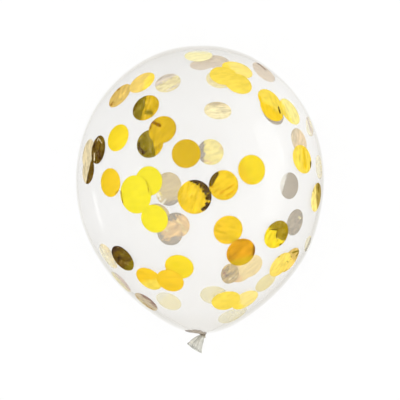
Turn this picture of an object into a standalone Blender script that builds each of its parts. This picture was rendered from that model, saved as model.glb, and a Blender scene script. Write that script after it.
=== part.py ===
"""A tied confetti balloon: one skin with its gathered neck, its knot and the tail of its mouth.

The balloon is modelled upright, crown up, below an empty that then lays it on its side. It rests on
a small flat spot at its widest place, with the crown towards +Y and the knot towards -Y. The origin
is the middle of that spot. The body is sealed, so its solid is full.
"""

import math

import bmesh
import bpy
from mathutils import Matrix, Vector

OBJECT_NAME = "confetti_balloon"

# Inflated body
BODY_WIDTH = 0.300
BODY_LENGTH = 0.350
REST_SPOT_WIDTH = 0.044

# How the radius of the egg leaves a plain ellipse, for each power of the cosine from the crown
EGG_SHAPE = (1.0, 0.069, -0.0637, 0.0946, -0.1226)

# Gathered skin between the body and the knot
GATHER_WIDTH = 0.024
GATHER_SINK = 0.0026
NECK_WIDTH = 0.0060
NECK_LENGTH = 0.0025
PLEAT_COUNT = 11
PLEAT_DEPTH = 0.0005

# Knot: a core with two bands of twisted neck around it, a little to one side of the axis
KNOT_OFFSET = 0.0034
KNOT_WIDTH = 0.0078
KNOT_DEPTH = 0.0068
KNOT_HEIGHT = 0.0062
BAND_THICKNESS = 0.0026
BAND_TILT = math.radians(21.0)
BAND_ROLL = math.radians(12.0)

# Tail: the flattened mouth of the balloon, which leans away from the knot
TAIL_LENGTH = 0.0176
TAIL_SINK = 0.0007
TAIL_LEAN = math.radians(34.0)
TAIL_ROOT_WIDTH = 0.0056
TAIL_ROOT_THICKNESS = 0.0042
LIP_WIDTH = 0.0184
LIP_THICKNESS = 0.0044
TAIL_WALL = 0.0006
LIP_ROLL = 0.0010
MOUTH_DEPTH = 0.0060
FOLD_COUNT = 5
FOLD_DEPTH = 0.00035

# Facets
BODY_SEGMENTS = 72
BODY_RINGS = 40
LOFT_SEGMENTS = 44
GATHER_RINGS = 7
TAIL_RINGS = 8
BEAD_RINGS = 6
CORE_SEGMENTS = 20
CORE_RINGS = 12
BAND_SEGMENTS = 22
BAND_SIDES = 10
MERGE_DISTANCE = 0.00001

LATEX_COLOR = (0.93, 0.92, 0.88, 1.0)
LATEX_ROUGHNESS = 0.16
LATEX_ALPHA = 0.35


def egg_radius(angle):
    """Radius of the egg, before it is scaled to its width, at an angle from the crown."""
    cosine = math.cos(angle)
    swell = sum(share * cosine**power for power, share in enumerate(EGG_SHAPE))
    return math.sin(angle) * swell


def widest_angle(steps=4000):
    """Angle from the crown at which the egg is widest."""
    return max((math.pi * step / steps for step in range(steps + 1)), key=egg_radius)


# Heights are taken from the widest place of the body, upwards to the crown
WIDEST = widest_angle()
RADIUS_SCALE = BODY_WIDTH / 2 / egg_radius(WIDEST)
NECK_END = -BODY_LENGTH / 2 * (1.0 + math.cos(WIDEST))
KNOT_CENTRE = Vector((KNOT_OFFSET, 0.0, NECK_END - NECK_LENGTH))
AXIS_HEIGHT = math.sqrt((BODY_WIDTH / 2) ** 2 - (REST_SPOT_WIDTH / 2) ** 2)


def clear_scene():
    """Removes every object that the file starts with."""
    for leftover in list(bpy.data.objects):
        bpy.data.objects.remove(leftover, do_unlink=True)


def make_collection(name):
    """Links a new collection to the scene."""
    collection = bpy.data.collections.new(name)
    bpy.context.scene.collection.children.link(collection)
    return collection


def make_latex():
    """Clear latex, glossy and slightly milky."""
    material = bpy.data.materials.new("latex")
    material.use_nodes = True
    shader = material.node_tree.nodes["Principled BSDF"]
    shader.inputs["Base Color"].default_value = LATEX_COLOR
    shader.inputs["Roughness"].default_value = LATEX_ROUGHNESS
    shader.inputs["Metallic"].default_value = 0.0
    shader.inputs["Alpha"].default_value = LATEX_ALPHA
    return material


def make_laying_frame():
    """Empty that lays the upright balloon on its side, with its axis level."""
    frame = bpy.data.objects.new("laid_on_its_side", None)
    bpy.context.scene.collection.objects.link(frame)
    frame.rotation_euler = (-math.pi / 2, 0.0, 0.0)
    frame.location = (0.0, 0.0, AXIS_HEIGHT)
    return frame


def add_object(name, mesh, collection, parent):
    """Links a mesh as an object below its parent."""
    part = bpy.data.objects.new(name, mesh)
    collection.objects.link(part)
    part.parent = parent
    return part


def make_body(collection, parent, material):
    """The egg-shaped skin, turned from its profile."""
    profile = []
    for ring in range(BODY_RINGS + 1):
        angle = math.pi * ring / BODY_RINGS
        height = BODY_LENGTH / 2 * (math.cos(angle) - math.cos(WIDEST))
        profile.append((RADIUS_SCALE * egg_radius(angle), 0.0, height))
    profile[0] = (0.0, 0.0, profile[0][2])
    profile[-1] = (0.0, 0.0, profile[-1][2])
    mesh = bpy.data.meshes.new("balloon")
    mesh.from_pydata(profile, [(ring, ring + 1) for ring in range(BODY_RINGS)], [])
    mesh.materials.append(material)
    body = add_object("balloon", mesh, collection, parent)
    screw = body.modifiers.new("Turned", "SCREW")
    screw.steps = BODY_SEGMENTS
    screw.render_steps = BODY_SEGMENTS
    screw.use_merge_vertices = True
    screw.merge_threshold = MERGE_DISTANCE
    screw.use_smooth_shade = True
    return body


def folded_ring(half_width, half_thickness, height, folds, fold_depth, centre_x=0.0):
    """One closed ring of points: an ellipse with shallow folds around it."""
    ring = []
    for step in range(LOFT_SEGMENTS):
        angle = math.tau * step / LOFT_SEGMENTS
        fold = fold_depth * math.cos(folds * angle)
        across = centre_x + (half_width + fold) * math.cos(angle)
        through = (half_thickness + fold) * math.sin(angle)
        ring.append(Vector((across, through, height)))
    return ring


def loft(name, rings, collection, parent):
    """A closed solid through rings of equal point count, from the top down, with flat ends."""
    shape = bmesh.new()
    loops = [[shape.verts.new(point) for point in ring] for ring in rings]
    for upper, lower in zip(loops, loops[1:]):
        for step in range(LOFT_SEGMENTS):
            after = (step + 1) % LOFT_SEGMENTS
            shape.faces.new((upper[step], lower[step], lower[after], upper[after]))
    shape.faces.new(loops[0])
    shape.faces.new(reversed(loops[-1]))
    bmesh.ops.recalc_face_normals(shape, faces=shape.faces)
    mesh = bpy.data.meshes.new(name)
    shape.to_mesh(mesh)
    shape.free()
    return add_object(name, mesh, collection, parent)


def make_gather(collection, parent):
    """Pleated skin that narrows from the end of the body to the neck above the knot."""
    rings = []
    drop = GATHER_SINK + NECK_LENGTH - KNOT_HEIGHT / 8
    for index in range(GATHER_RINGS + 1):
        down = index / GATHER_RINGS
        radius = NECK_WIDTH / 2 + (GATHER_WIDTH - NECK_WIDTH) / 2 * (1.0 - down) ** 1.7
        height = NECK_END + GATHER_SINK - down * drop
        depth = PLEAT_DEPTH * math.sin(math.pi * (0.15 + 0.7 * down))
        rings.append(folded_ring(radius, radius, height, PLEAT_COUNT, depth, KNOT_OFFSET * down))
    return loft("gather", rings, collection, parent)


def make_knot(collection, parent):
    """Core of the knot and the two crossing bands that are wound around it."""
    bpy.ops.mesh.primitive_uv_sphere_add(
        segments=CORE_SEGMENTS, ring_count=CORE_RINGS, radius=0.5, location=KNOT_CENTRE
    )
    core = bpy.context.object
    core.name = "knot_core"
    core_size = (KNOT_WIDTH - BAND_THICKNESS / 2, KNOT_DEPTH - BAND_THICKNESS / 2, KNOT_HEIGHT)
    core.data.transform(Matrix.Diagonal(core_size).to_4x4())
    pieces = [core]
    for name, side in (("upper_band", 1.0), ("lower_band", -1.0)):
        rise = side * (KNOT_HEIGHT - BAND_THICKNESS) / 3
        bpy.ops.mesh.primitive_torus_add(
            major_radius=(KNOT_WIDTH - BAND_THICKNESS) / 2,
            minor_radius=BAND_THICKNESS / 2,
            major_segments=BAND_SEGMENTS,
            minor_segments=BAND_SIDES,
            location=KNOT_CENTRE + Vector((0.0, 0.0, rise)),
            rotation=(side * BAND_ROLL, side * BAND_TILT, 0.0),
        )
        band = bpy.context.object
        band.name = name
        pieces.append(band)
    for piece in pieces:
        for holder in list(piece.users_collection):
            holder.objects.unlink(piece)
        collection.objects.link(piece)
        piece.parent = parent
    return pieces


def tail_ring(depth, inset):
    """One ring of the tail, so deep below the knot's centre and so far in from the outer surface."""
    down = max(depth, 0.0) / TAIL_LENGTH
    spread = down**0.8
    width = TAIL_ROOT_WIDTH + (LIP_WIDTH - TAIL_ROOT_WIDTH) * spread
    thickness = TAIL_ROOT_THICKNESS + (LIP_THICKNESS - TAIL_ROOT_THICKNESS) * spread
    return folded_ring(
        width / 2 - inset, thickness / 2 - inset, -depth, FOLD_COUNT, FOLD_DEPTH * down
    )


def bead_steps():
    """Depth and bulge around the rolled lip, from where it leaves the wall to near its end."""
    radius = (TAIL_WALL + LIP_ROLL) / 2
    leaves_wall = math.asin(TAIL_WALL / 2 / radius)
    near_end = math.radians(160.0)
    for index in range(BEAD_RINGS + 1):
        angle = leaves_wall + (near_end - leaves_wall) * index / BEAD_RINGS
        yield TAIL_LENGTH - radius * (1.0 + math.cos(angle)), radius * math.sin(angle)


def lean_tail(piece):
    """Puts a piece of the tail at the knot and leans it to the side."""
    piece.location = KNOT_CENTRE
    piece.rotation_euler = (0.0, TAIL_LEAN, 0.0)
    return piece


def make_tail(collection, parent):
    """The flattened funnel of the mouth, from inside the knot to its rolled lip."""
    bead = list(bead_steps())
    root = -TAIL_SINK
    rings = []
    for index in range(TAIL_RINGS):
        depth = root + (bead[0][0] - root) * index / TAIL_RINGS
        rings.append(tail_ring(depth, 0.0))
    rings += [tail_ring(depth, TAIL_WALL / 2 - bulge) for depth, bulge in bead]
    return lean_tail(loft("tail", rings, collection, parent))


def make_mouth(collection, parent):
    """Cutter for the open mouth, which leaves the wall of the tail and its lip around it."""
    bead = list(bead_steps())
    deepest = TAIL_LENGTH - MOUTH_DEPTH
    rings = []
    for index in range(TAIL_RINGS):
        depth = deepest + (bead[0][0] - deepest) * index / TAIL_RINGS
        rings.append(tail_ring(depth, TAIL_WALL))
    rings += [tail_ring(depth, TAIL_WALL / 2 + bulge) for depth, bulge in bead]
    rings.append(tail_ring(TAIL_LENGTH + LIP_ROLL, TAIL_WALL))
    return lean_tail(loft("mouth", rings, collection, parent))


def make_floor_cutter(collection):
    """Cutter below the floor that leaves the flat spot the balloon rests on."""
    size = BODY_WIDTH
    bpy.ops.mesh.primitive_cube_add(size=size, location=(0.0, 0.0, -size / 2))
    cutter = bpy.context.object
    cutter.name = "below_the_floor"
    for holder in list(cutter.users_collection):
        holder.objects.unlink(cutter)
    collection.objects.link(cutter)
    return cutter


def combine(body, piece, operation):
    """Joins a piece to the body, or cuts it away, and hides the piece itself."""
    piece.hide_render = True
    piece.display_type = "WIRE"
    boolean = body.modifiers.new(f"{operation.title()} {piece.name}", "BOOLEAN")
    boolean.object = piece
    boolean.operation = operation
    boolean.solver = "EXACT"


def main():
    """Builds the balloon lying on its flat spot."""
    clear_scene()
    parts = make_collection(OBJECT_NAME)
    cutters = make_collection("cutters")
    laid = make_laying_frame()

    body = make_body(parts, laid, make_latex())
    added = [make_gather(cutters, laid), *make_knot(cutters, laid), make_tail(cutters, laid)]
    for piece in added:
        combine(body, piece, "UNION")
    combine(body, make_mouth(cutters, laid), "DIFFERENCE")
    combine(body, make_floor_cutter(cutters), "DIFFERENCE")


main()
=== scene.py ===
"""Confetti balloon: clear latex tied at its neck, with gold foil discs inside its skin.

The balloon lies on its side on a small flat spot, with its crown towards +Y and its knot towards -Y.
The camera looks straight down on it. Pieces are made in balloon coordinates, measured from the axis
at the widest place: X across, Y along towards the crown and Z up. A raise of AXIS_HEIGHT puts them
in the frame of the CAD.
"""

import logging
import math
from collections.abc import Sequence
from dataclasses import dataclass, field
from enum import Enum

import bpy
import numpy as np
from mathutils import Matrix, Vector, noise


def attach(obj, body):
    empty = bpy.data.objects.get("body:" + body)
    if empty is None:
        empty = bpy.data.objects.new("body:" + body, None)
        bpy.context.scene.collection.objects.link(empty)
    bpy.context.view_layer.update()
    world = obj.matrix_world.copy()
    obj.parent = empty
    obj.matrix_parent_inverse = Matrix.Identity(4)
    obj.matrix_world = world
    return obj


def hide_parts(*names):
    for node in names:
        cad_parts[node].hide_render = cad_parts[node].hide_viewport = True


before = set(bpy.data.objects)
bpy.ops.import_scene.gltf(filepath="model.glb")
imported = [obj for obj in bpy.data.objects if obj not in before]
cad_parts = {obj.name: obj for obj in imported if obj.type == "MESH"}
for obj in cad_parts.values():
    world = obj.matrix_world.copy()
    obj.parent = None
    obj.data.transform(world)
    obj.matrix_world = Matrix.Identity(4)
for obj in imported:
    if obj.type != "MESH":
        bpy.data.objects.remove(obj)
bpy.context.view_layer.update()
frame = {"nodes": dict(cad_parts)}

LOG = logging.getLogger("confetti_balloon")
MILLIMETRE = 0.001
Colour = tuple[float, float, float]
Pair = tuple[float, float]
# How often a wave comes round, its phase and its height
Wave = tuple[int, float, float]
# The points of each face
Faces = list[tuple[int, ...]]


def linear(red: int, green: int, blue: int) -> Colour:
    """Turns a display colour of 12 to 255 into the linear colour that a shader takes.

    Args:
        red: display red.
        green: display green.
        blue: display blue.

    Returns:
        The linear colour.
    """
    white, lift, gamma = 255, 0.055, 2.4
    return tuple(((part / white + lift) / (1.0 + lift)) ** gamma for part in (red, green, blue))


def smooth_rise(values: np.ndarray, start: float, end: float) -> np.ndarray:
    """Rises smoothly from 0 at start to 1 at end.

    Args:
        values: where it is asked for.
        start: value at and before which it is 0.
        end: value at and after which it is 1.

    Returns:
        The height of the rise at each value.
    """
    share = np.clip((values - start) / (end - start), 0.0, 1.0)
    return share * share * (3.0 - 2.0 * share)


def full_turn(count: int) -> np.ndarray:
    """Angles of evenly spaced points around a ring."""
    return np.linspace(0.0, math.tau, count, endpoint=False)


def waves(turns: np.ndarray, parts: Sequence[Wave], sway: np.ndarray | float = 0.0) -> np.ndarray:
    """Adds up the waves that run around a ring.

    Args:
        turns: angle of each point.
        parts: how often each wave comes round, its phase and its height.
        sway: what shifts every phase.

    Returns:
        Their sum at each point.
    """
    return sum(height * np.cos(count * turns + phase + sway) for count, phase, height in parts)


class Graph:
    """The nodes of a material or of the room."""

    NOISE: Pair = (0.3, 0.7)
    MIDDLE: float = 0.5

    def __init__(self, owner: bpy.types.Material | bpy.types.World) -> None:
        """Starts without a node but the one that tells where a point is.

        Args:
            owner: the material or the room.
        """
        owner.use_nodes = True
        self.owner = owner
        self.tree = owner.node_tree
        self.tree.nodes.clear()
        self.coordinates = self.node("ShaderNodeTexCoord")
        self.place = self.coordinates.outputs["Object"]

    @classmethod
    def material(cls, name: str) -> "Graph":
        """Starts a new material of that name."""
        return cls(bpy.data.materials.new(name))

    def node(self, kind: str, inputs: dict[str | int, object] | None = None,
             **settings: object) -> bpy.types.Node:
        """Adds a node.

        Args:
            kind: its Blender type.
            inputs: a plain value or colour, or a socket to link, for each of its inputs.
            settings: values of the node itself.

        Returns:
            The new node.
        """
        made = self.tree.nodes.new(kind)
        for key, value in settings.items():
            setattr(made, key, value)
        for key, value in (inputs or {}).items():
            if isinstance(value, bpy.types.NodeSocket):
                self.tree.links.new(value, made.inputs[key])
            elif made.inputs[key].type == "RGBA":
                made.inputs[key].default_value = (*value, 1.0)
            else:
                made.inputs[key].default_value = value
        return made

    def carried(self, name: str, output: str = "Fac") -> bpy.types.NodeSocket:
        """Reads a value that the mesh carries at each point."""
        return self.node("ShaderNodeAttribute", attribute_name=name).outputs[output]

    def noise(self, place: object, scale: float, detail: float, roughness: float = 0.5
              ) -> bpy.types.NodeSocket:
        """Cloudy noise.

        Args:
            place: where it is read.
            scale: how fine it is.
            detail: how many finer layers it has.
            roughness: how strong those are.

        Returns:
            Its value, which lies about MIDDLE and seldom leaves the span NOISE.
        """
        inputs = {"Vector": place, "Scale": scale, "Detail": detail, "Roughness": roughness}
        return self.node("ShaderNodeTexNoise", inputs).outputs[0]

    def mix(self, share: object, low: object, high: object, blend: str = "MIX") -> bpy.types.NodeSocket:
        """Mixes two colours.

        Args:
            share: how much of the second.
            low: the first colour.
            high: the second colour.
            blend: how they mix.

        Returns:
            The mixed colour.
        """
        made = self.node("ShaderNodeMix", {0: share, 6: low, 7: high}, data_type="RGBA", blend_type=blend)
        return made.outputs[2]

    def shaded(self, colour: object, tone: object) -> bpy.types.NodeSocket:
        """Multiplies a colour by a grey tone."""
        grey = self.node("ShaderNodeCombineColor", {0: tone, 1: tone, 2: tone}).outputs[0]
        return self.mix(1.0, colour, grey, "MULTIPLY")

    def math(self, operation: str, first: object, second: object = 0.0) -> bpy.types.NodeSocket:
        """One sum of two values.

        Args:
            operation: which sum.
            first: the first value.
            second: the second value.

        Returns:
            Its result.
        """
        return self.node("ShaderNodeMath", {0: first, 1: second}, operation=operation).outputs[0]

    def ramp(self, value: object, span: Pair, start: float = 0.0, end: float = 1.0) -> bpy.types.NodeSocket:
        """Maps a value from one range to another with smooth ends.

        Args:
            value: the value.
            span: the first range.
            start: what its low end becomes.
            end: what its high end becomes.

        Returns:
            The mapped value.
        """
        inputs = {0: value, 1: span[0], 2: span[1], 3: start, 4: end}
        return self.node("ShaderNodeMapRange", inputs, interpolation_type="SMOOTHSTEP").outputs[0]

    def bump(self, height: object, strength: float, distance: float) -> bpy.types.NodeSocket:
        """Fine relief in the surface.

        Args:
            height: its height at each place.
            strength: how strongly it shows.
            distance: how high it is at most, in metres.

        Returns:
            The normal of the surface.
        """
        inputs = {"Height": height, "Strength": strength, "Distance": distance}
        return self.node("ShaderNodeBump", inputs).outputs[0]

    def finish(self, surface: dict[str, object], volume: bpy.types.Node | None = None
               ) -> bpy.types.Material:
        """Ends a material with its shader and what fills the piece.

        Args:
            surface: the inputs of the Principled shader.
            volume: what fills the inside.

        Returns:
            The finished material.
        """
        inputs = {"Surface": self.node("ShaderNodeBsdfPrincipled", surface).outputs[0]}
        if volume is not None:
            inputs["Volume"] = volume.outputs[0]
        self.node("ShaderNodeOutputMaterial", inputs)
        return self.owner


@dataclass(frozen=True)
class EggForm:
    """The inflated body: an egg turned about its axis, flat where it rests and a little uneven."""

    width: float = 0.300
    length: float = 0.350
    rest_spot_width: float = 0.044
    shape: tuple[float, ...] = (1.0, 0.069, -0.0637, 0.0946, -0.1226)
    fuller_directions: tuple[float, ...] = (
        -90.0, -79.0, -62.0, -36.0, -17.0, 56.0, 67.0, 76.0, 83.0, 90.0, 98.0, 105.0, 114.0)
    fuller_by_mm: tuple[float, ...] = (0.0, 2.7, 3.0, 2.5, 0.0, 0.0, 0.8, 0.0, -0.7, -1.6, -1.3, -0.5, 0.0)
    fuller_reach: Pair = (0.06, 0.15)
    steps: int = 6000
    coarse_step: int = 4
    end_radius: float = 0.05
    radii: np.ndarray = field(init=False, repr=False)
    heights: np.ndarray = field(init=False, repr=False)
    normals: np.ndarray = field(init=False, repr=False)

    def __post_init__(self) -> None:
        """Works out the outline from the crown to the neck."""
        angles = np.linspace(0.0, math.pi, self.steps + 1)
        plain = self.plain_radius(angles)
        widest = angles[int(plain.argmax())]
        radii = plain * self.width / 2 / plain.max()
        heights = self.length / 2 * (np.cos(angles) - math.cos(widest))
        out, along = -np.gradient(heights), np.gradient(radii)
        length = np.hypot(out, along)
        object.__setattr__(self, "radii", radii)
        object.__setattr__(self, "heights", heights)
        object.__setattr__(self, "normals", np.stack([out / length, along / length], axis=1))

    def plain_radius(self, angles: np.ndarray) -> np.ndarray:
        """The radius before it is scaled to the width, at each angle from the crown."""
        swell = sum(share * np.cos(angles) ** power for power, share in enumerate(self.shape))
        return np.sin(angles) * swell

    @property
    def axis_height(self) -> float:
        """Height of the axis above the floor."""
        return math.sqrt((self.width / 2) ** 2 - (self.rest_spot_width / 2) ** 2)

    @property
    def neck_end(self) -> float:
        """Where the egg ends, along the axis."""
        return float(self.heights[-1])

    def radius_at(self, along: np.ndarray | float) -> np.ndarray:
        """Radius of the body at a place along its axis."""
        return np.interp(along, self.heights[::-1], self.radii[::-1], left=0.0, right=0.0)

    def settle(self, points: np.ndarray, depth: np.ndarray | float) -> np.ndarray:
        """Lays points on the skin, some depth below its outer face.

        Args:
            points: points near the skin, in balloon coordinates.
            depth: how far below the outer face they lie.

        Returns:
            The points on the skin.
        """
        reach = np.hypot(points[:, 0], points[:, 2])
        turn = np.arctan2(points[:, 0], points[:, 2])
        step = self.coarse_step
        gap = (reach[:, None] - self.radii[None, ::step]) ** 2
        gap += (points[:, 1][:, None] - self.heights[None, ::step]) ** 2
        nearest = gap.argmin(axis=1) * step
        place = np.interp(points[:, 1], self.heights[::-1], np.arange(self.steps, -1, -1.0))
        wide = self.radii[nearest] > self.end_radius
        near = np.where(wide, np.clip(place, nearest - step, nearest + step), nearest)
        index = np.arange(self.steps + 1)
        radius = np.interp(near, index, self.radii) - depth * np.interp(near, index, self.normals[:, 0])
        along = np.interp(near, index, self.heights) - depth * np.interp(near, index, self.normals[:, 1])
        laid = np.stack([radius * np.sin(turn), along, radius * np.cos(turn)], axis=1)
        laid[:, 2] = np.maximum(laid[:, 2], depth - self.axis_height)
        return laid

    def normal_at(self, point: np.ndarray) -> np.ndarray:
        """Outward direction of the skin nearest to a point.

        Args:
            point: a point on the skin, in balloon coordinates.

        Returns:
            The unit normal.
        """
        reach = math.hypot(point[0], point[2])
        nearest = ((reach - self.radii) ** 2 + (point[1] - self.heights) ** 2).argmin()
        out, along = self.normals[nearest]
        return np.array([out * point[0] / reach, along, out * point[2] / reach])

    def let_out(self, points: np.ndarray) -> np.ndarray:
        """Lets the skin out at the lower right and flattens its crown, as no balloon is quite round.

        Args:
            points: points in balloon coordinates.

        Returns:
            The same points, moved outwards or inwards there.
        """
        direction = np.arctan2(points[:, 1], points[:, 0])
        reach = smooth_rise(np.hypot(points[:, 0], points[:, 1]), *self.fuller_reach)
        out = np.interp(np.degrees(direction), self.fuller_directions, self.fuller_by_mm,
                        left=0.0, right=0.0)
        out *= MILLIMETRE * reach
        return points + out[:, None] * np.stack([np.cos(direction), np.sin(direction), 0.0 * out], axis=1)


BODY = EggForm()
AXIS_HEIGHT = BODY.axis_height


def raise_up(points: np.ndarray) -> np.ndarray:
    """Takes balloon coordinates to the frame of the CAD."""
    return points + np.array([0.0, 0.0, AXIS_HEIGHT])


def new_mesh(name: str, points: np.ndarray, faces: Faces) -> bpy.types.Mesh:
    """Makes a mesh from points in balloon coordinates.

    Args:
        name: the mesh's name.
        points: its points.
        faces: the points of each face.

    Returns:
        The mesh, in the frame of the CAD.
    """
    mesh = bpy.data.meshes.new(name)
    mesh.from_pydata(raise_up(BODY.let_out(points)).tolist(), [], faces)
    mesh.validate()
    mesh.update()
    return mesh


def carry(mesh: bpy.types.Mesh, **values: np.ndarray) -> None:
    """Lets each point of a mesh carry numbers, vectors or colours for its finish to read.

    Args:
        mesh: the mesh.
        values: the values of each name, with a row for each point.
    """
    kinds = {1: ("FLOAT", "value"), 3: ("FLOAT_VECTOR", "vector"), 4: ("FLOAT_COLOR", "color")}
    for name, rows in values.items():
        kind, part = kinds[np.size(rows) // len(mesh.vertices)]
        mesh.attributes.new(name, kind, "POINT").data.foreach_set(part, np.ravel(rows))


def add_piece(name: str, mesh: bpy.types.Mesh, slot: str, *finishes: bpy.types.Material
              ) -> bpy.types.Object:
    """Links a mesh as a piece that stands for part of the balloon.

    Args:
        name: the piece's name.
        mesh: its mesh, in the frame of the CAD.
        slot: the record's material slot, which is not used.
        finishes: its materials.

    Returns:
        The new piece.
    """
    piece = bpy.data.objects.new(name, mesh)
    bpy.context.scene.collection.objects.link(piece)
    mesh.polygons.foreach_set("use_smooth", [True] * len(mesh.polygons))
    mesh.materials.clear()
    for finish in finishes:
        mesh.materials.append(finish)
    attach(piece, "root")
    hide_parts("balloon")
    LOG.info("%s: %d faces", name, len(mesh.polygons))
    return piece


def bridge(upper: int, lower: int, segments: int) -> Faces:
    """Four-sided faces between two rings of points that close on themselves.

    Args:
        upper: first point of one ring.
        lower: first point of the other.
        segments: points in each ring.

    Returns:
        The faces.
    """
    faces = []
    for step in range(segments):
        after = (step + 1) % segments
        faces.append((upper + step, lower + step, lower + after, upper + after))
    return faces


def ring_faces(rings: int, segments: int) -> Faces:
    """Faces between neighbouring rings of points, from the first ring to the last."""
    starts = range(0, (rings - 1) * segments, segments)
    return [face for start in starts for face in bridge(start, start + segments, segments)]


def fan(first: int, tip: int, segments: int) -> Faces:
    """Three-sided faces from a ring of points to a tip."""
    return [(first + step, first + (step + 1) % segments, tip) for step in range(segments)]


def end_caps(rings: int, segments: int) -> Faces:
    """One face over each end of a row of rings."""
    last = (rings - 1) * segments
    return [tuple(range(segments)), tuple(reversed(range(last, last + segments)))]


def flipped(faces: Faces) -> Faces:
    """The same faces, turned the other way."""
    return [face[::-1] for face in faces]


def shifted(faces: Faces, by: int) -> Faces:
    """The same faces on points that come later."""
    return [tuple(by + index for index in face) for face in faces]


@dataclass(frozen=True)
class ClearLatexFinish:
    """Stretched clear latex: see-through, with a wet gloss and a little grey in its thickness."""

    gloss: float = 0.012
    roughness: Pair = (0.05, 0.11)
    tint: Colour = (0.70, 0.67, 0.60)
    density: float = 14.5
    peel_height: float = 0.004

    def material(self) -> bpy.types.Material:
        """Makes a thin mirror of gloss on both faces, with a grey tint between them.

        Returns:
            The material.
        """
        graph = Graph.material("clear_latex")
        ripple = graph.noise(graph.place, scale=14.0, detail=2.0)
        peel = graph.noise(graph.place, scale=420.0, detail=1.0)
        height = graph.math("ADD", ripple, graph.math("MULTIPLY", peel, self.peel_height))
        absorb = graph.node("ShaderNodeVolumeAbsorption", {"Color": self.tint, "Density": self.density})
        return graph.finish({
            "Base Color": (1.0, 1.0, 1.0), "Metallic": 1.0, "Alpha": self.gloss,
            "Roughness": graph.ramp(ripple, graph.NOISE, *self.roughness),
            "Normal": graph.bump(height, strength=0.25, distance=0.004)}, absorb)


@dataclass(frozen=True)
class MilkyFilmFinish:
    """The milky inner face of the skin, which veils what is behind it, thickens at the neck and has painted
    shade on its upper left side.
    """

    veil: float = 0.13
    film: Colour = (0.635, 0.625, 0.605)
    dull: Colour = (0.46, 0.45, 0.43)
    neck: Colour = (0.50, 0.46, 0.38)
    cloudiness: Pair = (0.97, 1.03)
    roughness: Pair = (0.55, 0.8)

    def material(self) -> bpy.types.Material:
        """Makes matt milk with cloudy patches, darker where the skin gathers, and with painted shade on its
        upper left side.

        Returns:
            The material.
        """
        graph = Graph.material("milky_film")
        cloud = graph.noise(graph.place, scale=9.0, detail=3.0)
        speck = graph.noise(graph.place, scale=260.0, detail=2.0)
        # Painted shade: the film is mixed towards a darker colour on its upper left side, away from the
        # window light.
        colour = graph.mix(graph.carried("dulled"), self.film, self.dull)
        colour = graph.mix(graph.carried("gathered"), colour, self.neck)
        return graph.finish({
            "Base Color": graph.shaded(colour, graph.ramp(cloud, graph.NOISE, *self.cloudiness)),
            "Alpha": self.veil, "Specular IOR Level": 0.2,
            "Roughness": graph.ramp(speck, graph.NOISE, *self.roughness),
            "Normal": graph.bump(speck, strength=0.15, distance=0.0004)})


@dataclass(frozen=True)
class SlackLatexFinish:
    """Latex that isn't stretched, at the neck, the knot and the mouth: cloudy and nearly solid."""

    name: str
    pale: Colour
    deep: Colour
    solidity: float
    crease_scale: tuple[float, float, float] = (900.0, 180.0, 900.0)
    crease_span: Pair = (0.55, 0.75)
    # How much painted shade the creases get.
    crease_depth: float = 0.35
    cloudiness: float = 0.25
    roughness: Pair = (0.28, 0.45)

    def material(self) -> bpy.types.Material:
        """Makes creased milk, with painted shade in its folds and creases.

        Returns:
            The material.
        """
        graph = Graph.material(self.name)
        stretch = graph.node("ShaderNodeMapping", {"Vector": graph.place, "Scale": self.crease_scale})
        crease = graph.noise(stretch.outputs[0], scale=1.0, detail=4.0, roughness=0.6)
        cloud = graph.noise(graph.place, scale=300.0, detail=2.0)
        # Painted shade: the carried fold shade and the creases darken the milk towards the deep colour,
        # which also comes through at random in cloudy spots.
        painted_crease_shade = graph.ramp(crease, self.crease_span, 0.0, self.crease_depth)
        depth = graph.math("ADD", graph.carried("fold"), painted_crease_shade)
        colour = graph.mix(graph.ramp(depth, (0.0, 1.0)), self.pale, self.deep)
        colour = graph.mix(graph.ramp(cloud, graph.NOISE, 0.0, self.cloudiness), colour, self.deep)
        return graph.finish({
            "Base Color": colour, "Alpha": self.solidity, "Specular IOR Level": 0.6,
            "Roughness": graph.ramp(cloud, graph.NOISE, *self.roughness),
            "Normal": graph.bump(crease, strength=0.5, distance=0.0004)})


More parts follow.
